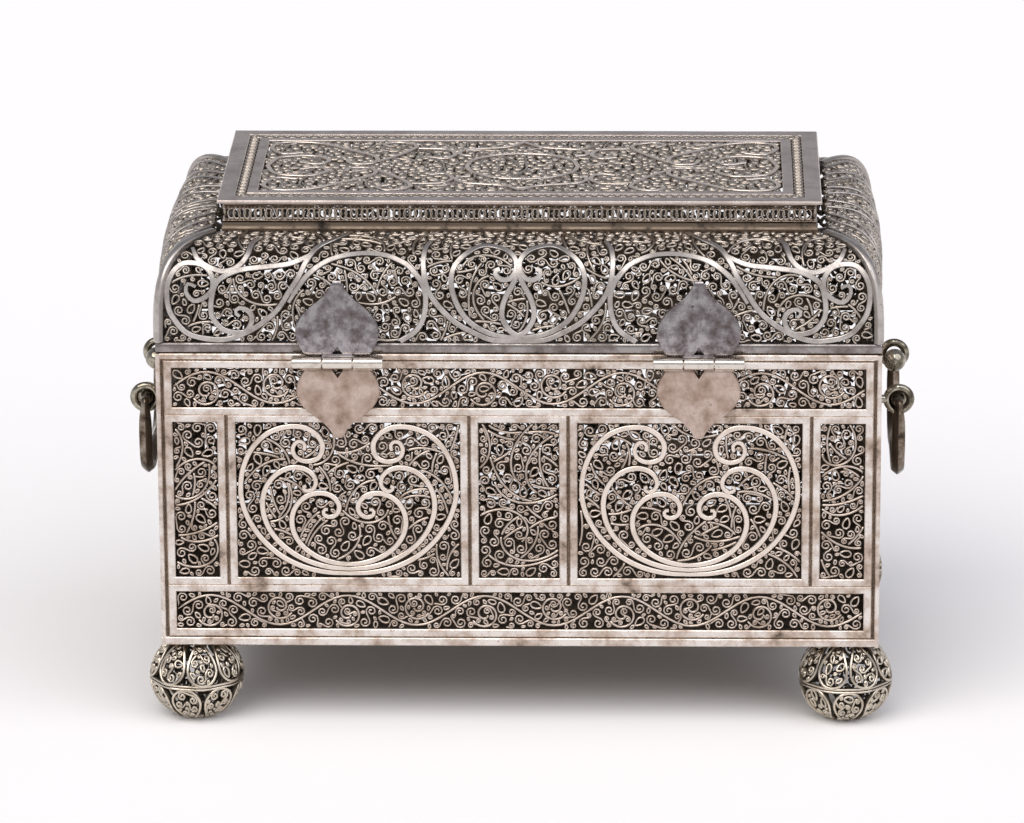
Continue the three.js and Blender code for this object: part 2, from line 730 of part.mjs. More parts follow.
for (const [hand, sideName] of sideNames) {
  for (const [sy, depthName] of depthNames) {
    addPiece(`ring_eye_${depthName}_${sideName}`,
      toGeometry(eyeSolid(hand, sy * eyeSpread / 2)), darkSilver);
  }
  addPiece(`bail_${sideName}`, toGeometry(bailSolid(hand)), darkSilver);
}

export default casket;
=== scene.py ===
# %% [markdown]
# # A silver filigree casket
# The casket is a box of openwork panels, a lid rounded on all four sides, a raised platform
# on the lid, four ball feet, two spade-shaped hinges and two drop handles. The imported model
# gives the true sizes. This lesson dresses it with the metalwork that makes it what it is:
# thousands of small curls of flattened wire, soldered between flat strips and ribbons.

import math

import bpy
import numpy as np
from mathutils import Matrix


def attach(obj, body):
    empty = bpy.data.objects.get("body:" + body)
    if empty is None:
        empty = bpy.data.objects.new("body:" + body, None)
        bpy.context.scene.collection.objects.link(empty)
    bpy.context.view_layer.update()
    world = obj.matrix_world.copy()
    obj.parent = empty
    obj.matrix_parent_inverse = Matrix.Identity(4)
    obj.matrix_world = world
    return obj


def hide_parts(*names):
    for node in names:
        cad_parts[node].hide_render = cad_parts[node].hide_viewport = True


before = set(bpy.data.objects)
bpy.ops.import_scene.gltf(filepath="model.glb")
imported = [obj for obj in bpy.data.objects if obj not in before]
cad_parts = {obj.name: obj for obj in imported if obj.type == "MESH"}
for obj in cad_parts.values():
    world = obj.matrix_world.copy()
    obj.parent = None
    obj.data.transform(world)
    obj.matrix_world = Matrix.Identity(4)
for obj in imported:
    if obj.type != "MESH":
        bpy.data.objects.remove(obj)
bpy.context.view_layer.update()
MM = 0.001

# %% [markdown]
# ## The camera
# A product photograph like this one is taken from several metres away with a long lens, so
# the box hardly tapers. Blender could look straight at the middle, but then the corners
# would not fall where the photograph has them. The place, the aim and the slight roll
# below come from fitting the known corners of the box to the picture.

# %% Set up the camera
def unit(vector):
    """The vector, or each vector of an array, at length 1."""
    vector = np.asarray(vector, float)
    return vector / np.linalg.norm(vector, axis=-1, keepdims=True)


camera_at = np.array([43.2, -1599.1, 583.0])
aim_at = np.array([-1.74, -50.0, 86.6])
view_right = unit([0.99961, 0.02717, -0.00571])
view_ahead = unit(aim_at - camera_at)
view_up = np.cross(view_right, view_ahead)
camera = bpy.data.objects.new("camera", bpy.data.cameras.new("camera"))
bpy.context.scene.collection.objects.link(camera)
turned = np.eye(4)
turned[:3, 0], turned[:3, 1], turned[:3, 2] = view_right, view_up, -view_ahead
turned[:3, 3] = camera_at * MM
camera.matrix_world = Matrix(turned.tolist())
camera.data.sensor_fit = "HORIZONTAL"
camera.data.sensor_width = 36
camera.data.lens = 218.1
camera.data.clip_start, camera.data.clip_end = 0.1, 20
bpy.context.scene.camera = camera
print("camera", [round(c, 1) for c in camera_at], "mm, lens", camera.data.lens, "mm")

# %% [markdown]
# ## Colours and nodes
# Screen colours are sRGB hex values, and Blender's shaders want linear light, so one
# function turns the first into the second. One more adds a node with its settings and links.

# %% Colour and node helpers
def linear(hex_colour, alpha=1.0):
    """sRGB hex to linear colour."""
    parts = [int(hex_colour[i:i + 2], 16) / 255 for i in (1, 3, 5)]
    return [c / 12.92 if c <= 0.04045 else ((c + 0.055) / 1.055) ** 2.4
            for c in parts] + [alpha]


def add(tree, kind, settings=None, links=None):
    """Adds a node. Settings go to the socket of that name or number, or to the node itself."""
    node = tree.nodes.new(kind)
    for key, value in (settings or {}).items():
        if isinstance(key, int) or key in node.inputs:
            node.inputs[key].default_value = value
        else:
            setattr(node, key, value)
    for key, source in (links or {}).items():
        tree.links.new(source, node.inputs[key])
    return node


def ramp(tree, source, *stops):
    """Turns a value into a colour: stops are (place, sRGB hex)."""
    node = add(tree, "ShaderNodeValToRGB", links={"Fac": source})
    while len(node.color_ramp.elements) < len(stops):
        node.color_ramp.elements.new(1.0)
    for element, (place, hex_colour) in zip(node.color_ramp.elements, stops):
        element.position, element.color = place, linear(hex_colour)
    return node.outputs["Color"]


def pattern(tree, size_mm, detail=3.0, stretch=(1, 1, 1), roughness=0.55):
    """Cloudy pattern whose patches are about size_mm wide, fixed to the metal."""
    place = add(tree, "ShaderNodeTexCoord").outputs["Object"]
    place = add(tree, "ShaderNodeMapping", {"Scale": stretch}, {"Vector": place})
    noise = add(tree, "ShaderNodeTexNoise",
                {"Scale": 1 / (size_mm * MM), "Detail": detail, "Roughness": roughness},
                {"Vector": place.outputs["Vector"]})
    return noise.outputs["Fac"]


def between(tree, source, low, high, to_low=0.0, to_high=1.0):
    """Stretches the part of a value from low to high over a new range."""
    node = add(tree, "ShaderNodeMapRange", {"From Min": low, "From Max": high,
                                            "To Min": to_low, "To Max": to_high},
               {"Value": source})
    return node.outputs["Result"]


def maths(tree, operation, first, second):
    """One sum of two values: each is a socket or a number."""
    node = add(tree, "ShaderNodeMath", {"operation": operation})
    for slot, value in enumerate((first, second)):
        if isinstance(value, (int, float)):
            node.inputs[slot].default_value = value
        else:
            tree.links.new(value, node.inputs[slot])
    return node.outputs["Value"]


# %% [markdown]
# ## Silver that has aged
# Every part is silver, but each was worked and touched differently. Fine silver is a pale
# warm metal. Air turns it yellow, then brown, then nearly black where no cloth reaches, and
# rubbing keeps the raised parts bright. So each finish mixes two colours, the rubbed metal
# and its sulphide tarnish, by a cloudy pattern in real millimetres and by how deep the spot
# lies: every mesh below stores that depth as "lift", 0 at the root and 1 on the face. The
# darkening by depth is partly that tarnish and partly painted shade, where wires and strips
# shade one another's roots.

# %% The silver finishes
# Small dark spots: how wide they are, and where the pattern turns to tarnish
spot_mm, spot_low, spot_high = 1.5, 0.6, 0.72


def silver(name, bright, tarnish, cloud_mm, cloud_low, cloud_high, rough, grain_mm,
           grain_depth_mm, stretch=(1, 1, 1), *, tint, deep=0.0, deep_to=0.1, spot=0.0):
    """Aged silver. Patches of tarnish cloud_mm wide cover what is over cloud_low of the
    pattern, with tint at their edges, and deep darkens all that lies lower than deep_to:
    tarnish in the hollows and painted shade there together."""
    material = bpy.data.materials.new(name)
    material.use_nodes = True
    tree = material.node_tree
    shader = tree.nodes["Principled BSDF"]
    cloud = between(tree, pattern(tree, cloud_mm, 5.0, roughness=0.65), cloud_low, cloud_high)
    if spot:
        spots = between(tree, pattern(tree, spot_mm, 4.0, roughness=0.7),
                        spot_low, spot_high, 0.0, spot)
        cloud = maths(tree, "MAXIMUM", cloud, spots)
    # Painted shade: the lower a spot lies on its section, the darker it gets, as tarnish and
    # shade in the hollows together
    if deep:
        lift = add(tree, "ShaderNodeAttribute", {"attribute_name": "lift"}).outputs["Fac"]
        cloud = maths(tree, "MAXIMUM", cloud, between(tree, lift, deep_to, 0.97, deep, 0.0))
    stops = [(0.0, bright), (0.55, tint), (1.0, tarnish)]
    tree.links.new(ramp(tree, cloud, *stops), shader.inputs["Base Color"])
    tree.links.new(between(tree, cloud, 0.0, 1.0, rough[0], rough[1]),
                   shader.inputs["Roughness"])
    tree.links.new(between(tree, cloud, 0.4, 1.0, 1.0, 0.55), shader.inputs["Metallic"])
    grain = pattern(tree, grain_mm, 3.0, stretch)
    bump = add(tree, "ShaderNodeBump", {"Strength": 0.7, "Distance": grain_depth_mm * MM},
               {"Height": grain})
    tree.links.new(bump.outputs["Normal"], shader.inputs["Normal"])
    return material


# %% Mix the finishes
# Drawn wire, flattened between rollers: pale on its face and brown at its root, from tarnish and
# painted shade.
wire_silver = silver("drawn_flattened_silver_wire", "#c8bbb0", "#54473c", 6, 0.42, 0.9,
                     (0.28, 0.55), 0.5, 0.012, deep=0.92, deep_to=0.3, tint="#9c8c7e")
# The same wire on the lid, greyer on its face, with paler tarnish and less darkening at its root
# than on the walls.
lid_wire_silver = silver("greyed_flattened_silver_wire", "#bbb1a7", "#6f655a", 6, 0.42, 0.95,
                         (0.28, 0.55), 0.5, 0.012, deep=0.8, deep_to=0.25, tint="#958a7d")
# Rolled strip: flat, rubbed bright, with brown tarnish left beside the solder and painted shade
# there too.
strip_silver = silver("rolled_silver_strip", "#e4ddd7", "#4a3b30", 7, 0.42, 0.74,
                      (0.24, 0.5), 0.7, 0.02, deep=0.7, spot=0.7, tint="#b9a799")
ribbon_silver = silver("rolled_silver_ribbon", "#e6dacf", "#6a5545", 7, 0.5, 0.95,
                       (0.28, 0.5), 0.6, 0.016, deep=0.7, deep_to=0.3, spot=0.4,
                       tint="#c5b5a7")
# The ribbon on the lid and its hips is painted greyer and darker than on the walls: painted shade
# that tones down the lid's bright reflections
lid_ribbon_silver = silver("silver_ribbon_painted_lid_shade", "#c0bab5", "#574d45", 5, 0.42, 0.85,
                           (0.34, 0.55), 0.6, 0.02, deep=0.6, spot=0.6, tint="#9b948f")
# The rim is a drawn half-round, greyer than the strips below it.
rim_silver = silver("drawn_half_round_silver", "#a09a98", "#3c3129", 6, 0.4, 0.78,
                    (0.22, 0.46), 0.8, 0.03, spot=0.8, tint="#766e6a")
# The plate is handled most: its strips are smooth, with a warm grey cast.
plate_silver = silver("handled_silver_strip", "#c2b6b0", "#5f4f45", 9, 0.44, 0.9,
                      (0.26, 0.46), 0.8, 0.02, spot=0.5, tint="#a3968f")
# Under the plate nothing rubs the metal, so it has gone brown; the dark colour also paints the
# shade under the plate's overhang.
shaded_silver = silver("brown_tarnished_silver_strip_painted_shade", "#716559", "#1f1812", 5, 0.36, 0.7,
                       (0.3, 0.6), 0.8, 0.02, spot=0.7, tint="#6c5f53")
# Beads pressed into a wire: bright tops, and dirt and painted shade between them.
bead_silver = silver("milled_silver_wire", "#efe6de", "#5a4a3e", 5, 0.46, 0.9,
                     (0.35, 0.6), 0.4, 0.02, deep=0.4, tint="#b3a394")
# The flat backs of the grooves hold years of dirt and sulphide; their dark colour also paints the
# shade in the grooves and recesses where this finish goes.
groove_silver = silver("tarnished_sheet_silver_painted_shade", "#93826f", "#3a2f27", 5, 0.34, 0.85,
                       (0.45, 0.7), 0.8, 0.02, tint="#695a4d")
# Hammered sheet for the hinge leaves, with the scratches of years of opening.
lower_leaf_silver = silver("scratched_sheet_silver", "#c4b1a6", "#584436", 5, 0.38, 0.8,
                           (0.26, 0.42), 0.35, 0.02, (6, 6, 0.4), spot=0.6, tint="#a08a7c")
# The upper leaf is darker and greyer than the lower one, with more small tarnish spots
upper_leaf_silver = silver("grey_spotted_sheet_silver", "#a5a0a2", "#3a2b21", 3.5, 0.4, 0.72,
                           (0.18, 0.42), 0.8, 0.02, (3, 3, 1), spot=0.9, tint="#746c6e")
barrel_silver = silver("turned_silver_tube", "#dcd5cc", "#6f6155", 4, 0.5, 0.95,
                       (0.2, 0.4), 1.2, 0.02, (0.3, 3, 3), spot=0.6, tint="#b3a89d")
cast_silver = silver("cast_silver_olive_tarnish", "#b5ae9f", "#2a241c", 4, 0.38, 0.72,
                     (0.07, 0.24), 1.6, 0.01, tint="#6c6658")
# The bail's finish paints its side towards the box dark: painted shade in tarnish colours
bail_silver = silver("forged_silver_tarnish_painted_shade", "#968d83", "#24190f", 3.5, 0.36, 0.66,
                     (0.1, 0.34), 1.4, 0.03, deep=0.85, spot=0.5, tint="#6a5c4e")
foot_silver = silver("olive_tarnished_silver_wire", "#d3c9ba", "#2d251c", 5, 0.44, 0.95,
                     (0.26, 0.5), 0.5, 0.012, deep=0.9, deep_to=0.3, tint="#988d7c")
print("finishes", len(bpy.data.materials))

# %% [markdown]
# ## Metal in code
# A smith builds this box from stock: wire, ribbon and strip, bent to a line and soldered
# down. The code does the same. A path is drawn flat, in millimetres; a "place" function
# lays it on the metal, flat wall or curved lid; and a section is swept along it. Numpy
# sweeps thousands of wires of one length together, which a curve object could not do in
# reasonable time.

# %% Sweep a section along paths
def circle(count):
    """Even angles round a circle."""
    return np.linspace(0, 2 * np.pi, count + 1)[:-1]


def tube_faces(rings, corners, closed=False):
    """The quads between rings of points, each with so many corners."""
    k = np.arange(corners)
    k1 = (k + 1) % corners
    here = (np.arange(rings if closed else rings - 1) * corners)[:, None]
    there = (here + corners) % (rings * corners)
    return np.stack([here + k, there + k, there + k1, here + k1], -1).reshape(-1, 4)


def outwards(points, quads):
    """The quads, turned over if they look inwards."""
    a, b, c, d = (points[quads[:, i]] for i in range(4))
    volume = np.einsum("ij,ij->", a, np.cross(b, c) + np.cross(c, d))
    return quads if volume >= 0 else quads[:, ::-1]


def sweep(centre, out, section, scale=1.0, deepen=1.0, closed=False, shift=0.0):
    """Rods of one section along paths. centre and out are (rods, stations, 3) in mm, and
    section is (corners, 2): across and lift. Gives points, faces and the lift share."""
    if closed:
        along = np.roll(centre, -1, axis=1) - np.roll(centre, 1, axis=1)
    else:
        along = np.gradient(centre, axis=1)
    side = unit(np.cross(unit(along), out) + 1e-12)
    across, lift = np.asarray(section, float).T
    rods, stations, _ = centre.shape
    corners = len(lift)
    wide = np.asarray(scale)[..., None] * across
    high = np.asarray(deepen)[..., None] * lift + shift
    points = (centre[:, :, None] + side[:, :, None] * wide[..., None]
              + out[:, :, None] * high[..., None])
    first = (np.arange(rods) * stations * corners)[:, None, None]
    faces = [(tube_faces(stations, corners, closed) + first).reshape(-1, 4)]
    if not closed:
        cap = np.arange(corners)
        caps = np.stack([cap, cap[::-1] + (stations - 1) * corners]) + first
        faces.append(caps.reshape(-1, corners))
    share = (lift - lift.min()) / (lift.max() - lift.min())
    return points.reshape(-1, 3), faces, np.tile(share, rods * stations)


def wire_section(face, root, low, high):
    """Flattened wire: a narrow pale face, and a wider root where solder and dirt gather and the
    finishes also paint shade.
    """
    return [(-root / 2, low), (root / 2, low), (face / 2, high), (-face / 2, high)]


def strip_section(width, low, high, bevel=0.15):
    """Flat strip with its upper edges eased."""
    half = width / 2
    return [(-half, low), (half, low), (half, high - bevel), (half - bevel, high),
            (-half + bevel, high), (-half, high - bevel)]


def lay(paths, place):
    """Puts flat paths on the metal, and gives their points and the way out there."""
    paths = np.asarray(paths, float)
    return place(paths[..., 0], paths[..., 1])


# %% Make a Blender piece from swept parts
made = []


def piece(name, parts, finish, body, replaces, sharp=True):
    """One mesh object from parts of (points, faces, lift), riding on a body."""
    points = np.concatenate([p for p, _, _ in parts]) * MM
    lifts = np.concatenate([s for _, _, s in parts])
    loops, sizes, first = [], [], 0
    for part_points, part_faces, _ in parts:
        for faces in part_faces:
            loops.append((faces + first).ravel())
            sizes.append(np.full(len(faces), faces.shape[1]))
        first += len(part_points)
    loops, sizes = np.concatenate(loops), np.concatenate(sizes)
    mesh = bpy.data.meshes.new(name)
    mesh.vertices.add(len(points))
    mesh.vertices.foreach_set("co", points.ravel())
    mesh.loops.add(len(loops))
    mesh.loops.foreach_set("vertex_index", loops.astype(np.int32))
    mesh.polygons.add(len(sizes))
    starts = np.concatenate([[0], np.cumsum(sizes)[:-1]])
    mesh.polygons.foreach_set("loop_start", starts.astype(np.int32))
    mesh.polygons.foreach_set("use_smooth", np.ones(len(sizes), bool))
    mesh.update(calc_edges=True)
    mesh.attributes.new("lift", "FLOAT", "POINT").data.foreach_set("value", lifts)
    if sharp:
        mesh.set_sharp_from_angle(angle=math.radians(38))
    mesh.materials.append(finish)
    thing = bpy.data.objects.new(name, mesh)
    bpy.context.scene.collection.objects.link(thing)
    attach(thing, body)
    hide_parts(*([replaces] if isinstance(replaces, str) else replaces))
    triangles = int((sizes - 2).sum())
    made.append((name, triangles))
    print(name, triangles, "triangles")


def closed_loops(rings, lifts=None):
    """A closed tube through rings of points, the last joined to the first, faces outwards."""
    rings = np.asarray(rings, float)
    count, corners, _ = rings.shape
    points = rings.reshape(-1, 3)
    shares = np.ones(len(points)) if lifts is None else np.repeat(lifts, corners)
    return points, [outwards(points, tube_faces(count, corners, True))], shares


def lathe(profile, base, axis, first, second, count):
    """A solid of (radius, height) points turned round the axis that leaves base. Its
    circles start towards first and go round towards second."""
    angle = circle(count)[:, None]
    spokes = np.cos(angle) * np.asarray(first) + np.sin(angle) * np.asarray(second)
    return closed_loops([np.asarray(base) + radius * spokes + height * np.asarray(axis, float)
                         for radius, height in profile])


# %% [markdown]
# ## A ground to fill
# Filigree is filled in by eye: the big ribbons first, then long thin stems, then curls
# from large to small until nothing more fits. A fine grid over each field remembers how
# far every spot is from the nearest metal. Curls go in touching what is already there, as a
# smith pushes each one up against the last, so that the solder can bridge them. Scattering
# them at random instead would leave holes that real filigree never has.

# %% The ground and its curls
class Ground:
    """A field as a grid of 0.16 mm cells that holds the distance to the nearest metal."""

    cell = 0.16
    reach = 2.2

    def __init__(self, width, height, edge=None):
        self.x = (np.arange(int(width / self.cell)) + 0.5) * self.cell
        self.y = (np.arange(int(height / self.cell)) + 0.5) * self.cell
        x, y = np.meshgrid(self.x, self.y)
        free = np.minimum(np.minimum(x, width - x), np.minimum(y, height - y))
        if edge is not None:
            free = np.minimum(free, edge(x, y))
        self.free = np.minimum(free, self.reach)

    def block(self, x, y, radius):
        """Metal within radius of this spot."""
        span = self.reach + radius
        i0, i1 = np.searchsorted(self.x, (x - span, x + span))
        j0, j1 = np.searchsorted(self.y, (y - span, y + span))
        part = self.free[j0:j1, i0:i1]
        gap = np.hypot(self.x[i0:i1][None] - x, self.y[j0:j1][:, None] - y) - radius
        np.minimum(part, gap, out=part)

    def block_path(self, path, radius, step=0.6):
        """Metal along a line."""
        path = np.asarray(path, float)
        run = np.concatenate([[0], np.cumsum(np.hypot(*np.diff(path, axis=0).T))])
        for at in np.arange(0, run[-1], step):
            self.block(np.interp(at, run, path[:, 0]), np.interp(at, run, path[:, 1]), radius)

    def at(self, x, y):
        i, j = int(x / self.cell), int(y / self.cell)
        if 0 <= i < len(self.x) and 0 <= j < len(self.y) and x > 0 and y > 0:
            return self.free[j, i]
        return -1.0

    def stems(self, count, longest, dice):
        """Thin stems that leave the metal at a slant, bend more and more and stop at the
        next metal, each as points 0.7 mm apart."""
        grown = []
        for _ in range(count * 4):
            if len(grown) >= count:
                break
            edge = np.flatnonzero((self.free > 0.25) & (self.free < 0.5))
            j, i = divmod(int(dice.choice(edge)), len(self.x))
            x, y = self.x[i], self.y[j]
            ahead = [self.at(x + 0.5, y) - self.at(x - 0.5, y),
                     self.at(x, y + 0.5) - self.at(x, y - 0.5)]
            hand = dice.choice((-1, 1))
            heading = math.atan2(ahead[1], ahead[0]) + hand * dice.uniform(0.5, 1.1)
            bend = dice.uniform(0.03, 0.09)
            path = [(x, y)]
            while len(path) * 0.7 < longest:
                heading -= hand * bend * 0.7
                bend *= 1.05
                x, y = x + 0.7 * math.cos(heading), y + 0.7 * math.sin(heading)
                if self.at(x, y) < (0.1 if len(path) < 3 else 0.3):
                    break
                path.append((x, y))
            if len(path) * 0.7 > 5:
                grown.append(np.array(path))
                self.block_path(path, 0.2)
        return grown

    def pack(self, sizes, dice):
        """Discs (x, y, radius) from the largest size to the smallest."""
        discs = []
        for size in sizes:
            while True:
                flat = self.free.ravel()
                spots = np.flatnonzero(flat >= size)
                if not spots.size:
                    break
                near = spots[flat[spots] < size + 0.1]
                pool = near if near.size else spots
                for spot in dice.choice(pool, min(pool.size, 10), replace=False):
                    j, i = divmod(int(spot), len(self.x))
                    if self.free[j, i] >= size:
                        discs.append((self.x[i], self.y[j], size))
                        self.block(self.x[i], self.y[j], size)
        return np.array(discs).reshape(-1, 3)


print("ground cells", Ground.cell, "mm wide")


# %% Curls in the discs
# Below this radius a disc only gets a drop, as does this share of the larger ones
drop_below, drop_share = 0.8, 0.22
# Half the width of a wire, kept inside its disc
slim = 0.2
# Discs less than this far apart are joined, this share of them by an S and not by a C
pair_gap, s_share = 0.5, 0.65


def curl(centre, radius, start, hand, steps, turns):
    """Flat spiral from its outer end inwards."""
    share = np.linspace(0, 1, steps)
    angle = start + hand * turns * 2 * np.pi * share
    reach = radius * (1 - 0.8 * share ** 1.15)
    return np.stack([centre[0] + reach * np.cos(angle), centre[1] + reach * np.sin(angle)], 1)


def curls_for(discs, dice, steps, turns):
    """Fills discs with wire: S and C scrolls that join two neighbours, single curls with a
    tail, and drop-shaped loops. Gives (paired, single, drops) as arrays of paths."""
    paired, single, drops, waiting = [], [], [], []
    for x, y, radius in discs:
        if radius < drop_below or dice.random() < drop_share:
            turn = circle(9)
            heading = dice.uniform(0, 2 * np.pi)
            long = (radius - slim * 0.4) * np.cos(turn)
            wide = (radius - slim) * 0.8 * np.sin(turn) * np.abs(np.sin(turn / 2)) ** 0.6
            drops.append(np.stack([x + long * math.cos(heading) - wide * math.sin(heading),
                                   y + long * math.sin(heading) + wide * math.cos(heading)], 1))
        else:
            waiting.append((x, y, radius))
    waiting = np.array(waiting).reshape(-1, 3)
    free = np.ones(len(waiting), bool)
    for n, (x, y, radius) in enumerate(waiting):
        if not free[n]:
            continue
        free[n] = False
        gap = np.hypot(waiting[:, 0] - x, waiting[:, 1] - y) - waiting[:, 2] - radius
        near = np.flatnonzero(free & (gap < pair_gap))
        hand = dice.choice((-1, 1))
        first = radius - slim
        if near.size:
            other = int(dice.choice(near))
            free[other] = False
            ox, oy, second = waiting[other]
            second -= slim
            line = math.atan2(oy - y, ox - x)
            span = math.hypot(ox - x, oy - y)
            same = dice.random() < s_share
            lean = math.asin(min(1.0, (first + second) / span)) if same else 0.0
            other_hand = hand if same else -hand
            a = curl((x, y), first, line + hand * (np.pi / 2 - lean), hand, steps, turns)
            b = curl((ox, oy), second, line + np.pi + other_hand * (np.pi / 2 - lean),
                     other_hand, steps, turns)
            paired.append(np.concatenate([a[::-1], b]))
        else:
            start = dice.uniform(0, 2 * np.pi)
            a = curl((x, y), first, start, hand, steps, turns)
            leave = np.array([hand * math.sin(start), -hand * math.cos(start)])
            outward = np.array([math.cos(start), math.sin(start)])
            tail = [a[0] + leave * radius * t + outward * radius * 0.35 * t * t
                    for t in (1.0, 0.55)]
            single.append(np.concatenate([tail, a]))
    return [np.array(group) for group in (paired, single, drops)]


# %% Turn curls and stems into swept wire
def wired(discs, place, dice, wire, steps, turns):
    """The swept curls of discs."""
    parts = []
    for group, closed in zip(curls_for(discs, dice, steps, turns), (False, False, True)):
        if len(group):
            lean = dice.uniform(-0.07, 0.07, (len(group), 1, 1))
            parts.append(sweep(*lay(group, place), wire, closed=closed, shift=lean))
    return parts


def filled(ground, corner, place, dice, sizes, wire, steps, turns):
    """The curls that fill what is left of a ground whose first corner lies here."""
    return wired(ground.pack(sizes, dice) + (*corner, 0), place, dice, wire, steps, turns)


def swept(paths, corner, place, section):
    """One swept part for each flat path, moved to a corner and laid on the metal."""
    return [sweep(*lay(path[None] + corner, place), section) for path in paths]


print("points of a curl", len(curl((0, 0), 1.0, 0.0, 1, 11, 1.5)))


# %% [markdown]
# ## The walls
# Each wall is a row of upright fields between two long bands. Every field has its own
# mitred frame of flat strip, and where two frames meet a thin milled wire fills the dark
# groove between them. The frames could be plain boxes, but real strip is never quite
# straight: each side here bends by a few hundredths of a millimetre, which is what makes
# its reflections run unevenly.

# %% Sizes of the box, in mm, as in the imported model
box_length, box_depth, box_height = 190.0, 105.0, 81.0
foot_height = 22.0
joint_z = foot_height + box_height
end_strip, bottom_rail, lower_band, mid_rail = 4.1, 4.7, 10.3, 4.1
upper_band, top_rail, stile = 10.8, 4.0, 4.8
centre_width, scroll_width = 21.2, 59.0
wall = 2.0
field_strip = 1.75
wall_ribbon = 1.35
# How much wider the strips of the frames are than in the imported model: the grooves are narrow
strip_extra = 0.28
# Two milled wires lie in each upright groove, this far from its middle
wire_offset = 0.28
print("box", box_length, box_depth, box_height)


def rectangle(x0, x1, y0, y1, counts=(1, 1, 1, 1)):
    """Points round a rectangle, with so many steps on each side."""
    corners = np.array([(x0, y0), (x1, y0), (x1, y1), (x0, y1)], float)
    ways = zip(corners, np.roll(corners, -1, axis=0), counts)
    return np.concatenate([a + (b - a) * (np.arange(n) / n)[:, None] for a, b, n in ways])


def flat_side(origin, along, up, out):
    """Lays flat paths on a flat wall: x along it and y up it."""
    origin, along, up, out = (np.asarray(v, float) for v in (origin, along, up, out))

    def place(x, y):
        point = origin + np.asarray(x)[..., None] * along + np.asarray(y)[..., None] * up
        return point, np.broadcast_to(out, point.shape)
    return place


def four_sides(x_half, y_half, z):
    """The upright back, right, front and left of a box, as (place, half width)."""
    return [(flat_side((sx * x_half, sy * y_half, z), (-sy, sx, 0), (0, 0, 1), (sx, sy, 0)),
             x_half if sy else y_half) for sx, sy in ((0, -1), (1, 0), (0, 1), (-1, 0))]


def wall_fields(width, row, edge):
    """Fields of one wall as (x0, x1, y0, y1, kind)."""
    inner = width / 2 - edge
    low, high = bottom_rail + lower_band + mid_rail, box_height - top_rail - upper_band - mid_rail
    fields = [(-inner, inner, bottom_rail, bottom_rail + lower_band, "band"),
              (-inner, inner, high + mid_rail, box_height - top_rail, "band")]
    x = -inner
    for size, kind in row:
        fields.append((x, x + size, low, high, kind))
        x += size + stile
    return fields


flank = (box_length - 2 * end_strip - 2 * scroll_width - centre_width - 4 * stile) / 2
long_fields = wall_fields(box_length, [(flank, "plain"), (scroll_width, "scroll"),
                                       (centre_width, "plain"), (scroll_width, "scroll"),
                                       (flank, "plain")], end_strip)
end_width = box_depth - 2 * wall
end_flank = (end_width - 2 * (end_strip - wall) - scroll_width - 2 * stile) / 2
end_fields = wall_fields(end_width, [(end_flank, "plain"), (scroll_width, "scroll"),
                                     (end_flank, "plain")], end_strip - wall)
print("fields", len(long_fields), "long,", len(end_fields), "end")


# %% Frames of strip and lines of milled wire
def mitred_frame(x0, x1, y0, y1, width, low, high, place, dice, bevel=0.22, step=9.0):
    """Flat strip round a field, outside its edge, with mitred corners."""
    profile = [(width, low), (0.0, low), (0.0, high - bevel), (bevel, high),
               (width - bevel, high), (width, high - bevel)]
    sides = [max(2, int(round((x1 - x0) / step))), max(2, int(round((y1 - y0) / step)))] * 2
    bend = np.cumsum(dice.normal(0, 0.02, sum(sides)))
    bend = np.clip(bend - bend.mean(), -0.07, 0.07)
    rings = []
    for reach, lift in profile:
        point, out = lay(rectangle(x0 - reach, x1 + reach, y0 - reach, y1 + reach, sides), place)
        rings.append(point + out * (lift + bend * (lift > low))[:, None])
    return closed_loops(rings, [0.0, 0.0, 0.55, 1.0, 1.0, 0.55])


def milled(start, end, place, width=0.55, low=-0.9, high=-0.03, pitch=1.1):
    """A milled wire: a row of small beads between two points."""
    start, end = np.asarray(start, float), np.asarray(end, float)
    beads = max(2, int(np.linalg.norm(end - start) / pitch))
    share = np.linspace(0, 1, 2 * beads + 1)
    path = start + (end - start) * share[:, None]
    section = [(0, low), (width / 2, (low + high) / 2), (0, high), (-width / 2, (low + high) / 2)]
    swell = np.where(np.arange(2 * beads + 1) % 2, 1.0, 0.35)[None]
    return sweep(*lay(path[None], place), section, scale=swell)


def bar(x0, x1, y0, y1, low, high, place):
    """A flat plate between two lifts."""
    point, out = lay(rectangle(x0, x1, y0, y1), place)
    rings = np.stack([point + out * low, point + out * high])
    faces = np.array([[0, 3, 2, 1], [4, 5, 6, 7], [0, 1, 5, 4], [1, 2, 6, 5], [2, 3, 7, 6],
                      [3, 0, 4, 7]])
    return rings.reshape(-1, 3), [faces], np.repeat([0.0, 1.0], 4)


# %% The scroll ribbons and the vines of a field
# The outermost scroll of a field, in shares of half its width and of its height
outer_scroll = [(0, 0.026), (0.21, 0.034), (0.415, 0.069), (0.605, 0.137), (0.765, 0.237),
                (0.885, 0.359), (0.95, 0.48), (0.962, 0.59), (0.935, 0.71), (0.855, 0.832),
                (0.725, 0.923), (0.565, 0.968), (0.405, 0.97), (0.295, 0.932), (0.235, 0.878),
                (0.228, 0.822), (0.265, 0.772), (0.345, 0.75), (0.425, 0.758), (0.478, 0.79),
                (0.49, 0.836), (0.455, 0.874), (0.408, 0.876), (0.382, 0.852), (0.392, 0.822)]
# reach, rise, shrink per quarter turn, quarters, and how far up the field it springs from
field_scrolls = [(0.77, 0.655, 0.48, 6.6, 0.055), (0.51, 0.46, 0.58, 6.4, 0.085)]


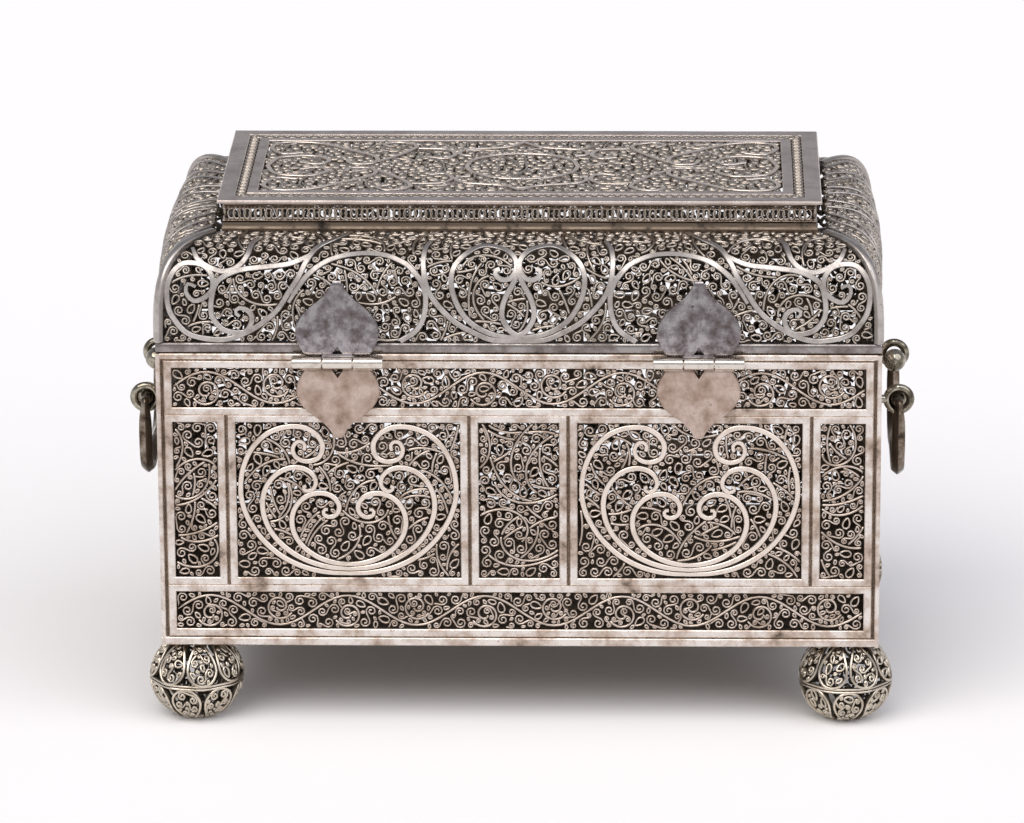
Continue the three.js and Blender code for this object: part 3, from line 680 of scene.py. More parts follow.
def catmull_rom(before, points, after, steps):
    """Smooth line through points. The two more shape its ends."""
    ends = np.vstack([before, points, after])
    t = np.linspace(0, 1, steps, endpoint=False)[:, None]
    spans = [0.5 * (2 * b + (c - a) * t + (2 * a - 5 * b + 4 * c - d) * t ** 2
                    + (3 * b - a - 3 * c + d) * t ** 3)
             for a, b, c, d in zip(ends, ends[1:], ends[2:], ends[3:])]
    return np.vstack(spans + [ends[-2:-1]])


def smooth_line(points, spacing):
    """Smooth line through points, with even stations about spacing mm apart."""
    points = np.asarray(points, float)
    dense = catmull_rom(2 * points[0] - points[1], points, 2 * points[-1] - points[-2], 12)
    run = np.concatenate([[0], np.cumsum(np.hypot(*np.diff(dense, axis=0).T))])
    at = np.linspace(0, run[-1], max(4, int(run[-1] / spacing) + 1))
    return np.stack([np.interp(at, run, dense[:, 0]), np.interp(at, run, dense[:, 1])], 1)


def springing_scroll(reach, rise, shrink, quarters, foot, count=60):
    """Log-spiral scroll in a unit half field, springing from the bottom centre."""
    decay = -math.log(shrink) / (np.pi / 2)
    turn = np.linspace(0, quarters * np.pi / 2, count)

    def at(t):
        f = np.exp(-decay * t)
        s = 1 + decay * decay
        return ((f * (np.sin(t) - decay * np.cos(t)) + decay) / s,
                (1 - f * (decay * np.sin(t) + np.cos(t))) / s)
    u, v = at(turn)
    return np.stack([u / at(np.pi / 2)[0] * reach, foot + v / at(np.pi)[1] * rise], 1)


def field_ribbons(wide, tall):
    """The scrolls of a field and their mirror images: which half, order, and path."""
    halves = [np.array(outer_scroll)] + [springing_scroll(*s) for s in field_scrolls]
    for hand in (-1, 1):
        for order, half in enumerate(halves):
            path = np.stack([(1 + hand * half[:, 0]) * wide / 2, half[:, 1] * tall], 1)
            yield hand, order, smooth_line(path, 0.75)


def vine(width, height):
    """A waving stem along a band, and a large open curl in each of its bays."""
    bays = max(2, int(round(width / 18)))
    bay = width / bays
    x = np.linspace(0.4, width - 0.4, bays * 10 + 1)
    wave = np.stack([x, height / 2 + 0.4 * height * np.sin(np.pi * x / bay)], 1)
    curls = []
    for n in range(bays):
        up = 1 if n % 2 == 0 else -1
        middle = ((n + 0.5) * bay, height / 2 - up * 0.1 * height)
        curls.append(curl(middle, 0.36 * height, np.pi / 2 * (1 + up) + 0.5 * up, up, 26, 1.35))
    return wave, curls


print("scroll ribbons in a field", len(list(field_ribbons(60, 40))))


# %% Fill the fields of a wall
# How a side is filled: sizes of its curls, their wire, points in a curl, and its turns
fine_filling = ((1.62, 1.4, 1.2, 1.02, 0.86, 0.72, 0.6), wire_section(0.29, 0.66, -1.3, -0.4),
                13, 1.42)
plain_filling = (1.7, 1.45, 1.2, 0.95, 0.75), wire_section(0.45, 1.1, -1.3, -0.42), 10, 1.4
stem_wire = wire_section(0.4, 0.8, -1.3, -0.34)


def fill_fields(fields, place, fine, dice):
    """The frames, ribbons, filled scroll fields and filled bands of a wall."""
    strips, ribbons, stems = [], [], []
    curls = {True: [], False: []}
    for x0, x1, y0, y1, kind in fields:
        strips.append(mitred_frame(x0, x1, y0, y1, field_strip + strip_extra, -1.1, -0.02,
                                   place, dice))
        wide, tall = x1 - x0, y1 - y0
        ground = Ground(wide, tall)
        if kind == "scroll":
            for hand, order, path in field_ribbons(wide, tall):
                ground.block_path(path, wall_ribbon / 2 - 0.1, 0.5)
                taper = np.interp(np.linspace(0, 1, len(path)), [0, 0.1, 0.8, 1],
                                  [0.8, 1, 1, 0.75])
                ribbons.append(sweep(*lay(path[None] + (x0, y0), place),
                                     strip_section(wall_ribbon, -1.0, -0.12),
                                     scale=taper[None], shift=0.025 * hand - 0.05 * order))
            long_stems = ground.stems(34 if fine else 16, 15, dice)
        elif kind == "band":
            wave, whorls = vine(wide, tall)
            ground.block_path(wave, 0.2)
            for whorl in whorls:
                ground.block_path(whorl, 0.18)
            long_stems = [wave] + whorls
        else:
            long_stems = ground.stems(int(wide * tall / 45), 20, dice)
        stems += swept(long_stems, (x0, y0), place, stem_wire)
        curls[kind == "scroll"] += filled(ground, (x0, y0), place, dice,
                                          *(fine_filling if fine else plain_filling))
    return strips, ribbons, stems + curls[True], curls[False]


# %% Grooves and edges of a wall
def outer_strip(x0, x1, y0, y1, place, dice, low=-1.1, high=0.0, bevel=0.25, step=9.0):
    """A plain strip that runs the whole way along one side."""
    middle, span = np.array([x0 + x1, y0 + y1]) / 2, np.array([x1 - x0, y1 - y0])
    count = max(3, int(span.max() / step))
    width = span.min()
    span[span.argmin()] = 0
    line = middle + span * np.linspace(-0.5, 0.5, count)[:, None]
    centre, out = lay(line[None], place)
    centre = centre - out * dice.uniform(0, 0.06, (1, count, 1))
    return sweep(centre, out, strip_section(width, low, high, bevel))


def wall_backs(half, lines, rows, place):
    """Plates behind the frames, just under their face. Each row is (y0, y1, its columns)."""
    backs = [bar(-half, half, low, high, -wall + 0.01, -0.6, place)
             for low, high in zip(lines[::2], lines[1::2])]
    for y0, y1, columns in rows:
        marks = [-half, *np.ravel(columns), half]
        backs += [bar(low, high, y0, y1, -wall + 0.02, -0.62, place)
                  for low, high in zip(marks[::2], marks[1::2])]
    return backs


def wall_grooves(half, lines, middle_row, edges, place, dice):
    """Milled wires in the grooves between frames, and the plain strips outside them."""
    strips, beads = [], []
    for low, high in zip(lines[::2], lines[1::2]):
        if low == 0.0:
            y = high - field_strip - 0.3
            strips.append(outer_strip(-half, half, 0.05, y - 0.4, place, dice))
        elif high == box_height:
            y = low + field_strip + 0.3
            strips.append(outer_strip(-half, half, y + 0.35, box_height - 0.05, place, dice))
        else:
            y = (low + high) / 2
        beads.append(milled((-half + edges, y), (half - edges, y), place))
    y0, y1, columns = middle_row
    for (_, x), (x_next, _) in zip(columns, columns[1:]):
        for side in (-wire_offset, wire_offset):
            middle = (x + x_next) / 2 + side
            beads.append(milled((middle, y0 - 1.6), (middle, y1 + 1.6), place, width=0.4))
    for hand in (-1, 1):
        x = hand * (half - edges + 0.35)
        beads.append(milled((x, 0.3), (x, box_height - 0.3), place, width=0.5))
        outer = sorted((hand * half, x + hand * 0.35))
        if outer[1] - outer[0] > 0.4:
            strips.append(outer_strip(*outer, 0.05, box_height - 0.05, place, dice))
    return strips, beads


# %% Build the walls
def build_wall(name, width, fields, place, fine, seed, edges):
    """All of one wall. fine is for the side that is seen most."""
    dice = np.random.default_rng(seed)
    half = width / 2
    rows = [(y0, y1, sorted(f[:2] for f in fields if f[2] == y0))
            for y0, y1 in sorted({f[2:4] for f in fields})]
    lines = [0.0, *(y for row in rows for y in row[:2]), box_height]
    strips, ribbons, scrolls, bands = fill_fields(fields, place, fine, dice)
    outer, beads = wall_grooves(half, lines, rows[1], edges, place, dice)
    # The backs take the dark groove finish: tarnish and painted shade in the grooves between
    # frames
    backs = wall_backs(half, lines, rows, place)
    node = name + "_wall"
    for part, parts, finish in (
            ("_strips", strips + outer, strip_silver), ("_backs", backs, groove_silver),
            ("_milled_wires", beads, bead_silver), ("_ribbons", ribbons, ribbon_silver),
            ("_filigree_scrolls", scrolls, wire_silver), ("_filigree_bands", bands, wire_silver)):
        piece(node + part, parts, finish, "case", node, sharp=finish is not wire_silver)


half_length, half_depth = box_length / 2, box_depth / 2
back, right, front, left = (
    place for place, _ in four_sides(half_length, half_depth, foot_height))
build_wall("back", box_length, long_fields, back, True, 11, 1.9)
build_wall("front", box_length, long_fields, front, False, 12, 1.9)
build_wall("left", end_width, end_fields, left, False, 13, 0.3)
build_wall("right", end_width, end_fields, right, False, 14, 0.3)

# %% [markdown]
# ## The floor of the box
# The bottom is one plain sheet, which the imported model already has, so it only gets the dark
# groove finish: tarnish on sheet silver that no cloth has reached for a very long time, and
# painted shade for the dark inside of the box.

# %% Finish the floor sheet
def finish_node(name, finish):
    """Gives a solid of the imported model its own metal."""
    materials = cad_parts[name].data.materials
    materials.clear()
    materials.append(finish)


finish_node("floor_plate", groove_silver)

# %% [markdown]
# ## The lid
# The lid rises steeply from its rim and turns over into a nearly flat top on all four
# sides. The same wires are laid on it, but on a curve, so the place functions below bend
# flat paths over the lid's profile with their length kept. Projecting a flat pattern
# instead would stretch the curls on the steep part.

# %% The lid's curve
rim_height, lid_height = 3.0, 28.3
reach_side, reach_end, curve_power, end_bulge = 18.3, 14.0, 3.2, 2.4
lid_half_length, lid_half_depth = half_length - 0.5, half_depth - 0.5
turn = np.linspace(0, np.pi / 2, 600)
inset = 1 - np.cos(turn) ** (2 / curve_power)
rise = np.sin(turn) ** (2 / curve_power)
lid_tall = lid_height - rim_height
run_side = np.concatenate([[0], np.cumsum(np.hypot(np.diff(inset) * reach_side,
                                                   np.diff(rise) * lid_tall))])
lid_run = run_side[-1]
lid_share = run_side / lid_run
rim_top = joint_z + rim_height


def lid_level(share):
    """Inset, height, swell of the ends, and the slopes of the side and end curves."""
    share = np.clip(share, 0, 1)
    at_inset, at_rise = (np.interp(share, lid_share, t) for t in (inset, rise))
    near = np.clip(share, 0.002, 0.998)
    step = 0.002
    d_inset = np.interp(near + step, lid_share, inset) - np.interp(near - step, lid_share, inset)
    d_rise = np.interp(near + step, lid_share, rise) - np.interp(near - step, lid_share, rise)
    swell = end_bulge * np.sin(np.pi * share)
    d_swell = 2 * step * end_bulge * np.pi * np.cos(np.pi * share)
    return at_inset, rim_top + at_rise * lid_tall, swell, d_inset, d_rise * lid_tall, d_swell


def lid_side(sy):
    """x along the box, y mm up the curve from the rim."""
    def place(x, y):
        x, y = np.asarray(x, float), np.asarray(y, float)
        at_inset, z, _, d_inset, d_z, _ = lid_level(y / lid_run)
        point = np.stack([x, sy * (lid_half_depth - reach_side * at_inset), z], -1)
        out = np.stack([0 * x, sy * d_z, d_inset * reach_side], -1)
        return point, unit(out)
    return place


end_run = 33.5


def lid_end(sx):
    """x along the end, towards the front, and y mm up the curve."""
    def place(x, y):
        x, y = np.asarray(x, float), np.asarray(y, float)
        at_inset, z, swell, d_inset, d_z, d_swell = lid_level(y / end_run)
        wide = lid_half_depth - reach_side * at_inset
        bow = 1 - (np.clip(x / wide, -1, 1)) ** 2
        reach = lid_half_length - reach_end * at_inset + swell * bow
        point = np.stack([sx * reach, x, z], -1)
        slope = d_inset * reach_end - d_swell * bow
        out = np.stack([sx * d_z, 2 * swell * x / wide ** 2 * d_z, slope], -1)
        return point, unit(out)
    return place


print("lid curve", round(lid_run, 2), "mm")


# %% [markdown]
# ### The ribbons of the lid
# The long side has a large ribbon pattern: a scroll with a curled tip near each corner, a
# loop over each hinge and a rounded cartouche in the middle. Each line is drawn as a few
# points, u along half the box and v up the curve, then smoothed and mirrored.

# %% Draw the lid's ribbons
lid_lines = [
    [(-.885, .4), (-.907, .42), (-.912, .36), (-.892, .3), (-.863, .32), (-.84, .38),
     (-.84, .47), (-.858, .54), (-.89, .57), (-.926, .56), (-.954, .48), (-.965, .38),
     (-.961, .25), (-.944, .16), (-.913, .07), (-.869, .03), (-.806, .02), (-.748, .07),
     (-.693, .16), (-.657, .25), (-.63, .36), (-.603, .47), (-.581, .59), (-.552, .71),
     (-.509, .81), (-.48, .9), (-.465, .97)],
    [(-.765, .19), (-.778, .22), (-.764, .25), (-.738, .22), (-.731, .16), (-.748, .08),
     (-.779, .07), (-.815, .1), (-.841, .19), (-.843, .3), (-.831, .42), (-.804, .48),
     (-.764, .52), (-.706, .54), (-.639, .56), (-.604, .59), (-.573, .63)],
    [(-.897, .7), (-.881, .6), (-.849, .54), (-.809, .51), (-.773, .54), (-.747, .62),
     (-.732, .76), (-.716, .83)],
    [(-.63, .29), (-.603, .4), (-.572, .5), (-.515, .6), (-.439, .65), (-.372, .64),
     (-.324, .59), (-.296, .54), (-.264, .43), (-.253, .32), (-.26, .18), (-.283, .08),
     (-.324, 0.01)],
    [(-.24, .79), (-.256, .69), (-.26, .55), (-.25, .4), (-.223, .28), (-.173, .15),
     (-.119, .07), (-.069, .02), (0, 0.015)],
    [(0, .04), (-.069, .06), (-.128, .14), (-.164, .26), (-.182, .4), (-.178, .53),
     (-.147, .64), (-.097, .73), (-.042, .7), (-.01, .62), (-.005, .53), (-.023, .46),
     (-.05, .46), (-.064, .51), (-.05, .53)],
    [(0, .55), (-.009, .45), (-.037, .31), (-.044, .19), (-.023, .09), (0, .05)],
]


# Widths of a ribbon, and of half the strip that covers a hip
lid_ribbon = 1.4
hip = 1.1


def build_lid_side(name, sy, fine, seed):
    """The ribbons and curls of a long side. fine is for the side that is seen most."""
    dice = np.random.default_rng(seed)
    place = lid_side(sy)
    slope = np.sqrt(0.5)
    shift = np.array([half_length, 0.0])

    def edge(x, y):
        at_inset = np.interp(np.clip(y / lid_run, 0, 1), lid_share, inset)
        return (lid_half_length - reach_end * at_inset - np.abs(x - half_length)
                - hip * (1 + slope)) * 0.95
    ground = Ground(box_length, lid_run, edge)
    ribbons = []
    for line in lid_lines if fine else lid_lines[:5]:
        for hand in (-1, 1):
            path = smooth_line(np.array(line) * (half_length, lid_run), 1.1) * (-hand, 1)
            ground.block_path(path + shift, lid_ribbon / 2 - 0.1, 0.5)
            taper = np.interp(np.linspace(0, 1, len(path)), [0, 0.12], [0.7, 1])
            rests = 0.02 * hand - 0.04 * len(ribbons) / 14
            ribbons.append(sweep(*lay(path[None], place), strip_section(lid_ribbon, -0.9, 0.15),
                                 scale=taper[None], shift=rests))
    stems = swept(ground.stems(60 if fine else 24, 16, dice), -shift, place,
                  wire_section(0.4, 0.8, -1.0, -0.04))
    if fine:
        filling = ((1.5, 1.3, 1.12, 0.96, 0.8, 0.66), wire_section(0.3, 0.66, -1.0, -0.1), 13,
                   1.45)
    else:
        filling = (1.7, 1.4, 1.15, 0.9, 0.7), wire_section(0.45, 1.1, -1.0, -0.12), 10, 1.4
    curls = filled(ground, -shift, place, dice, *filling)
    piece(f"lid_{name}_ribbons", ribbons, lid_ribbon_silver, "lid", "lid_dome")
    piece(f"lid_{name}_filigree", stems + curls, lid_wire_silver, "lid", "lid_dome",
          sharp=False)


build_lid_side("back", -1, True, 21)
build_lid_side("front", 1, False, 22)


# %% [markdown]
# ### The ends of the lid
# Each end is filled with five long loops like tongues, which hang from the platform and
# follow the curve down to the rim, each one a ribbon round its own filigree.

# %% Build the ends of the lid
tongues, tongue_share, tongue_foot, tongue_top = 5, 0.86, 0.06, 0.97
tongue_shape = [(-0.62, 1.0), (-0.8, 0.75), (-0.96, 0.5), (-0.97, 0.3), (-0.75, 0.1), (0, 0.0),
                (0.75, 0.1), (0.97, 0.3), (0.96, 0.5), (0.8, 0.75), (0.62, 1.0)]


def build_lid_end(name, sx, seed):
    """The tongues and curls of one end."""
    dice = np.random.default_rng(seed)
    place = lid_end(sx)

    def edge(x, y):
        at_inset = np.interp(np.clip(y / end_run, 0, 1), lid_share, inset)
        wide = lid_half_depth - reach_side * at_inset
        return (wide - np.abs(x - half_depth) - hip * 1.6) * 0.9
    ground = Ground(box_depth, end_run, edge)
    shift = np.array([half_depth, 0.0])
    ribbons = []
    for n in range(tongues):
        middle = (2 * n - tongues + 1) / tongues
        path = []
        for u, v in tongue_shape:
            up = tongue_foot + (tongue_top - tongue_foot) * v
            wide = lid_half_depth - reach_side * np.interp(up, lid_share, inset) - 2 * hip
            path.append(((middle + u * tongue_share / tongues) * wide, up * end_run))
        path = smooth_line(path, 1.6)
        ground.block_path(path + shift, 0.5, 0.5)
        ribbons.append(sweep(*lay(path[None], place), strip_section(1.05, -0.9, 0.05)))
    stems = swept(ground.stems(26, 12, dice), -shift, place, wire_section(0.4, 0.9, -1.0, -0.04))
    curls = filled(ground, -shift, place, dice, (1.5, 1.25, 1.0, 0.8, 0.65),
                   wire_section(0.42, 1.0, -1.0, -0.12), 11, 1.5)
    piece(f"lid_{name}_ribbons", ribbons, lid_ribbon_silver, "lid", "lid_dome")
    piece(f"lid_{name}_filigree", stems + curls, lid_wire_silver, "lid", "lid_dome",
          sharp=False)


build_lid_end("left", -1, 23)
build_lid_end("right", 1, 24)


# %% [markdown]
# ### Rim, hips and mouldings
# The rim is a smooth half-round strip, and a rounded strip covers each hip where two
# curved sides meet. Mouldings that run round a rectangle are all made one way: a profile
# of (inset, height) points, carried round the four sides with mitred corners.

# %% Mouldings round a rectangle
def moulding(x_half, y_half, profile, dice, wobble=0.03, step=9.0, shares=None):
    """A closed profile of (inset, z) carried round a rectangle."""
    sides_at = [max(3, int(2 * x_half / step)), max(3, int(2 * y_half / step))] * 2
    bend = np.clip(np.cumsum(dice.normal(0, wobble / 2, sum(sides_at))), -wobble, wobble)
    rings = []
    for inward, z in profile:
        line = rectangle(inward - x_half, x_half - inward, inward - y_half, y_half - inward,
                         sides_at)
        rings.append(np.column_stack([line, z + bend - wobble]))
    return closed_loops(rings, shares)


dice = np.random.default_rng(31)
arch = np.linspace(-np.pi / 2, np.pi / 2, 9)
rim_profile = [(0.75 - 0.75 * math.cos(a), joint_z + 1.55 + 1.45 * math.sin(a)) for a in arch]
rim_profile += [(2.4, joint_z + 3.0), (2.4, joint_z + 0.1)]
rim = moulding(half_length, half_depth, rim_profile, dice)
hips = []
for sx in (-1, 1):
    for sy in (-1, 1):
        share = np.linspace(0, 1, 34)
        at_inset, z, _, d_inset, d_z, _ = lid_level(share)
        x = lid_half_length - reach_end * at_inset
        y = lid_half_depth - reach_side * at_inset
        centre = np.stack([sx * x, sy * y, z], -1)
        out = unit(np.stack([sx * d_z, sy * d_z,
                             d_inset * (reach_end + reach_side) / 1.4 + 1e-6], -1))
        section = [(-hip, -1.2), (hip, -1.2)]
        section += [(1.15 * math.cos(a), 0.1 + 0.4 * math.sin(a))
                    for a in np.linspace(0, np.pi, 7)]
        hips.append(sweep(centre[None], out[None], section))
piece("lid_rim_moulding", [rim], rim_silver, "lid", "lid_dome")
piece("lid_hip_strips", hips, lid_ribbon_silver, "lid", "lid_dome")

# %% [markdown]
# ## The platform
# The platform is a separate little frame on the lid: a plain band, then a pierced lattice
# of interlaced wire loops between milled wires, a dark neck and the framed plate. The
# loops overlap as links do, so each is swept as its own ring of wire.

# %% Build the frieze
lid_top = joint_z + lid_height
plate_length, plate_depth, plate_thickness = 158.7, 70.3, 1.1
base_height, lattice_height, neck_height = 2.4, 4.1, 0.9
lattice_z = lid_top + base_height
neck_z = lattice_z + lattice_height
plate_z = neck_z + neck_height
plate_top = plate_z + plate_thickness
frieze_x, frieze_y = plate_length / 2 - 1.0, plate_depth / 2 - 1.0


def box_profile(inset_a, inset_b, z0, z1, bevel=0.2):
    """Profile of a flat strip standing on edge."""
    return [(inset_a, z0 + bevel), (inset_a, z1 - bevel), (inset_a + bevel, z1),
            (inset_b, z1), (inset_b, z0), (inset_a + bevel, z0)]


def links(place, half, y, pitch, wide, tall, wire):
    """A row of overlapping oval links."""
    count = int(2 * half / pitch)
    x = (np.arange(count) - (count - 1) / 2) * (2 * half / count)
    angle = circle(10)
    oval = np.stack([wide * np.cos(angle), y + tall * np.sin(angle)], -1)
    paths = oval + np.stack([x, 0 * x], -1)[:, None]
    lean = np.where(np.arange(count) % 2, 0.12, -0.12)[:, None, None]
    return sweep(*lay(paths, place), wire, closed=True, shift=lean)


cove = [(0, lid_top - 0.6), (0, lid_top + 0.5), (0.25, lid_top + 0.75), (0.55, lid_top + 1.3),
        (0.6, lattice_z - 0.35), (0.35, lattice_z), (1.5, lattice_z), (1.5, lid_top - 0.6)]
base = moulding(frieze_x, frieze_y, cove, dice)
neck = moulding(frieze_x, frieze_y, box_profile(0.8, 1.8, neck_z, plate_z), dice, 0.01)
lattice, lines = [], []
for place, half in four_sides(frieze_x - 0.4, frieze_y - 0.4, lattice_z):
    lattice.append(links(place, half - 1.6, lattice_height / 2, 1.4, 0.95, 1.42,
                         wire_section(0.3, 0.5, -0.8, -0.15)))
    for from_edge, width, high in ((0.18, 0.5, 0.05), (0.62, 0.42, -0.02)):
        for y in (from_edge, lattice_height - from_edge):
            lines.append(milled((-half, y), (half, y), place, width, -0.8, high, 1.0))
piece("frieze_base_band", [base], shaded_silver, "lid", "platform_frieze")
# The neck takes the dark groove finish: painted shade under the plate's overhang, with tarnish
piece("frieze_neck", [neck], groove_silver, "lid", "platform_frieze")
piece("frieze_lattice", lattice, lid_wire_silver, "lid", "platform_frieze", sharp=False)
piece("frieze_milled_wires", lines, bead_silver, "lid", "platform_frieze")

# %% Build the plate
plate_lines = [
    [(-.86, .14), (-.79, .06), (-.75, .2), (-.8, .37), (-.87, .39), (-.95, .3), (-.985, 0)],
    [(-.86, .52), (-.94, .48), (-.985, .75), (-.93, .94), (-.8, .9), (-.665, .6),
     (-.57, .34), (-.58, .1), (-.66, .08), (-.68, .24)],
    [(-.51, .76), (-.55, .84), (-.5, .95), (-.42, .8), (-.47, .48), (-.56, .16)],
    [(-.36, .35), (-.3, .3), (-.265, .46), (-.3, .66), (-.41, .7)],
    [(-.2, .4), (-.25, .47), (-.22, .65), (-.07, .76), (0, .95)],
    [(-.215, 0), (-.19, .24), (-.1, .45), (0, .5)],
]
outer_width, band_width, inner_width = 4.5, 2.8, 2.8
plate_x, plate_y = plate_length / 2, plate_depth / 2
field_edge = outer_width + band_width + inner_width
field_x, field_y = plate_x - field_edge, plate_y - field_edge
dice = np.random.default_rng(41)
flat_top = flat_side((0, 0, plate_top), (1, 0, 0), (0, 1, 0), (0, 0, 1))
rounded = [(0.4, plate_z + 0.05), (0.0, plate_z + 0.3), (0.0, plate_top - 0.25),
           (0.25, plate_top), (outer_width - 0.2, plate_top), (outer_width, plate_top - 0.2),
           (outer_width, plate_z), (0.6, plate_z)]
plate_frame = [moulding(plate_x, plate_y, rounded, dice, 0.05)]
inner_edge = outer_width + band_width
plate_frame.append(moulding(plate_x, plate_y, [
    (inner_edge, plate_z), (inner_edge, plate_top - 0.2), (inner_edge + 0.2, plate_top),
    (field_edge - 0.2, plate_top), (field_edge, plate_top - 0.2), (field_edge, plate_z)],
    dice, 0.05))
under = moulding(plate_x, plate_y, box_profile(outer_width - 0.4, inner_edge + 0.4,
                                               plate_z - 0.4, plate_z + 0.1), dice, 0.01)
ground = Ground(2 * field_x, 2 * field_y)
shift = np.array([field_x, field_y])
ribbons, band = [], []
for line in plate_lines:
    for sx in (-1, 1):
        for sy in (-1, 1):
            path = smooth_line(np.array(line) * (field_x, field_y), 1.3) * (sx, sy)
            ground.block_path(path + shift, 0.55, 0.5)
            rests = 0.015 * (sx + 2 * sy) - 0.008 * len(ribbons) / 4
            ribbons.append(sweep(*lay(path[None], flat_top), strip_section(1.25, -0.9, -0.06),
                                 shift=rests))
stems = swept(ground.stems(50, 14, dice), -shift, flat_top, wire_section(0.4, 0.8, -1.0, -0.12))
curls = filled(ground, -shift, flat_top, dice, (1.42, 1.22, 1.04, 0.88, 0.72),
               wire_section(0.4, 0.95, -1.0, -0.16), 11, 1.5)
band_middle = outer_width + band_width / 2
for sx, sy, half in ((0, -1, plate_x), (0, 1, plate_x), (-1, 0, plate_y), (1, 0, plate_y)):
    origin = (sx * (plate_x - band_middle), sy * (plate_y - band_middle), plate_top)
    strip_place = flat_side(origin, (abs(sy), abs(sx), 0), (-abs(sx), abs(sy), 0), (0, 0, 1))
    band.append(links(strip_place, half - outer_width - 0.2, 0.0, 1.5, 1.0, 1.1,
                      wire_section(0.31, 0.58, -0.8, -0.2)))
piece("plate_frame_strips", plate_frame, plate_silver, "lid", "platform_plate")
# The back under the link band takes the dark groove finish: painted shade seen through the links,
# with tarnish
piece("plate_band_back", [under], groove_silver, "lid", "platform_plate")
piece("plate_band_links", band, lid_wire_silver, "lid", "platform_plate", sharp=False)
piece("plate_ribbons", ribbons, ribbon_silver, "lid", "platform_plate")
piece("plate_filigree", stems + curls, lid_wire_silver, "lid", "platform_plate", sharp=False)


# %% [markdown]
# ## The feet
# Each foot is a flattened ball in two halves that meet at a wire: eight petals hang from
# the top, and eight rounded cells stand on the bottom. A petal is a ribbon outline with
# curls inside and a dark gap beside it. Polar coordinates bend the flat petals to the ball.

# %% The ball of a foot
foot_radius, foot_inset, pad_radius = 12.8, 8.5, 5.0
petals, petal_height, lobe_depth = 8, 12.0, 0.22
# The height of the ball's surface, measured up its curve from the middle
ball_run = 12.6
pad_tilt = math.acos(pad_radius / foot_radius)
pad_stretch = 1 / math.sqrt(1 - (pad_radius / foot_radius) ** 2)


def on_ball(cx, cy, turned_by):
    """x mm round the ball at its widest and y mm up it from the equator."""
    def place(x, y):
        tilt = np.clip(np.asarray(y) / ball_run, -1, 1) * pad_tilt
        angle = np.asarray(x) / foot_radius + turned_by
        lobe = lobe_depth * np.cos(petals * (angle - turned_by)) - lobe_depth
        radius = (foot_radius - 0.12 + lobe) * np.cos(tilt)
        z = foot_height / 2 * (1 + np.sin(tilt) * pad_stretch)
        point = np.stack([cx + radius * np.cos(angle), cy + radius * np.sin(angle), z], -1)
        out = unit(np.stack([np.cos(angle) * np.cos(tilt), np.sin(angle) * np.cos(tilt),
                             np.sin(tilt) + 0 * angle], -1))
        return point, out
    return place


cell_width = 2 * np.pi * foot_radius / petals
upper_petal = [(-0.30, 1.0), (-0.62, 0.78), (-0.86, 0.5), (-0.84, 0.27), (-0.5, 0.1),
               (0, 0.05), (0.5, 0.1), (0.84, 0.27), (0.86, 0.5), (0.62, 0.78), (0.30, 1.0)]


print("petals", 2 * petals, "each", round(cell_width, 2), "mm wide")


# %% Build the feet
def petal_edge(x, y):
    """How far a spot of a flat petal lies inside its outline."""
    v = y / petal_height
    wide = np.interp(v, [0.05, 0.12, 0.27, 0.5, 0.78, 1.0],
                     [0, 0.55, 0.84, 0.86, 0.62, 0.3]) * cell_width / 2
    return np.minimum((wide - np.abs(x - cell_width / 2)) * 0.9 - 0.2,
                      (v - 0.05) * petal_height - 0.2)


def build_foot(name, cx, cy, seed, turned_by):
    """One ball foot, with the upper petals over the middles of the lower ones."""
    dice = np.random.default_rng(seed)
    place = on_ball(cx, cy, turned_by)
    outlines, curls = [], []
    for half, width, ahead in ((-1, 0.96, 0.5), (1, 1.0, 0)):
        shape = smooth_line([(u * cell_width / 2 * width, half * v * petal_height)
                             for u, v in upper_petal], 1.2)
        for n in range(petals):
            middle = (n + ahead) * cell_width
            outlines += swept([shape], (middle, 0), place, strip_section(0.62, -1.0, 0.1, 0.12))
            ground = Ground(cell_width, petal_height, petal_edge)
            discs = ground.pack((1.5, 1.25, 1.0, 0.8, 0.6), dice) - (cell_width / 2, 0, 0)
            discs = discs * (1, half, 1) + (middle, 0, 0)
            curls += wired(discs, place, dice, wire_section(0.4, 0.7, -0.9, -0.05), 10, 1.4)
    around = circle(40) * foot_radius
    for level in (-0.35, 0.35):
        path = np.stack([around, np.full(40, level)], 1)
        outlines.append(sweep(*lay(path[None], place), strip_section(0.55, -0.9, 0.1, 0.15),
                              closed=True))
    pads = []
    for z0, z1 in ((0.0, 0.8), (foot_height - 0.8, foot_height)):
        profile = [(0.6, z0), (pad_radius - 0.2, z0), (pad_radius + 0.2, (z0 + z1) / 2),
                   (pad_radius - 0.2, z1), (0.6, z1)]
        pads.append(lathe(profile, (cx, cy, 0), (0, 0, 1), (1, 0, 0), (0, 1, 0), 24))
    node = "foot_" + name
    piece(node + "_cells", outlines + pads, foot_silver, "case", node)
    piece(node + "_filigree", curls, foot_silver, "case", node,
          sharp=False)


for number, (sy, depth_name) in enumerate(((-1, "back"), (1, "front"))):
    for sx, side_name in ((-1, "left"), (1, "right")):
        build_foot(f"{depth_name}_{side_name}", sx * (half_length - foot_inset),
                   sy * (half_depth - foot_inset), 51 + 2 * number + (sx > 0),
                   0.2 + 0.25 * (sx > 0))


# %% [markdown]
# ## The hinges
# A leaf is a spade shape cut from sheet, with a notch at the barrel. The grid below runs
# from the notched edge to the point, so it can follow the lid's curve where a flat cut-out
# could not. Its edge is eased by dropping the outermost points.

# %% The shape of a leaf
hinge_spread, barrel_radius, barrel_length, knuckle_gap = 94.4, 1.6, 23.8, 0.3
barrel_y, barrel_z = -half_depth - 2.05, joint_z - 1.8
leaf_thickness, leaf_width, notch = 0.9, 21.8, 3.2
lower_height, upper_height = 19.1, 20.0
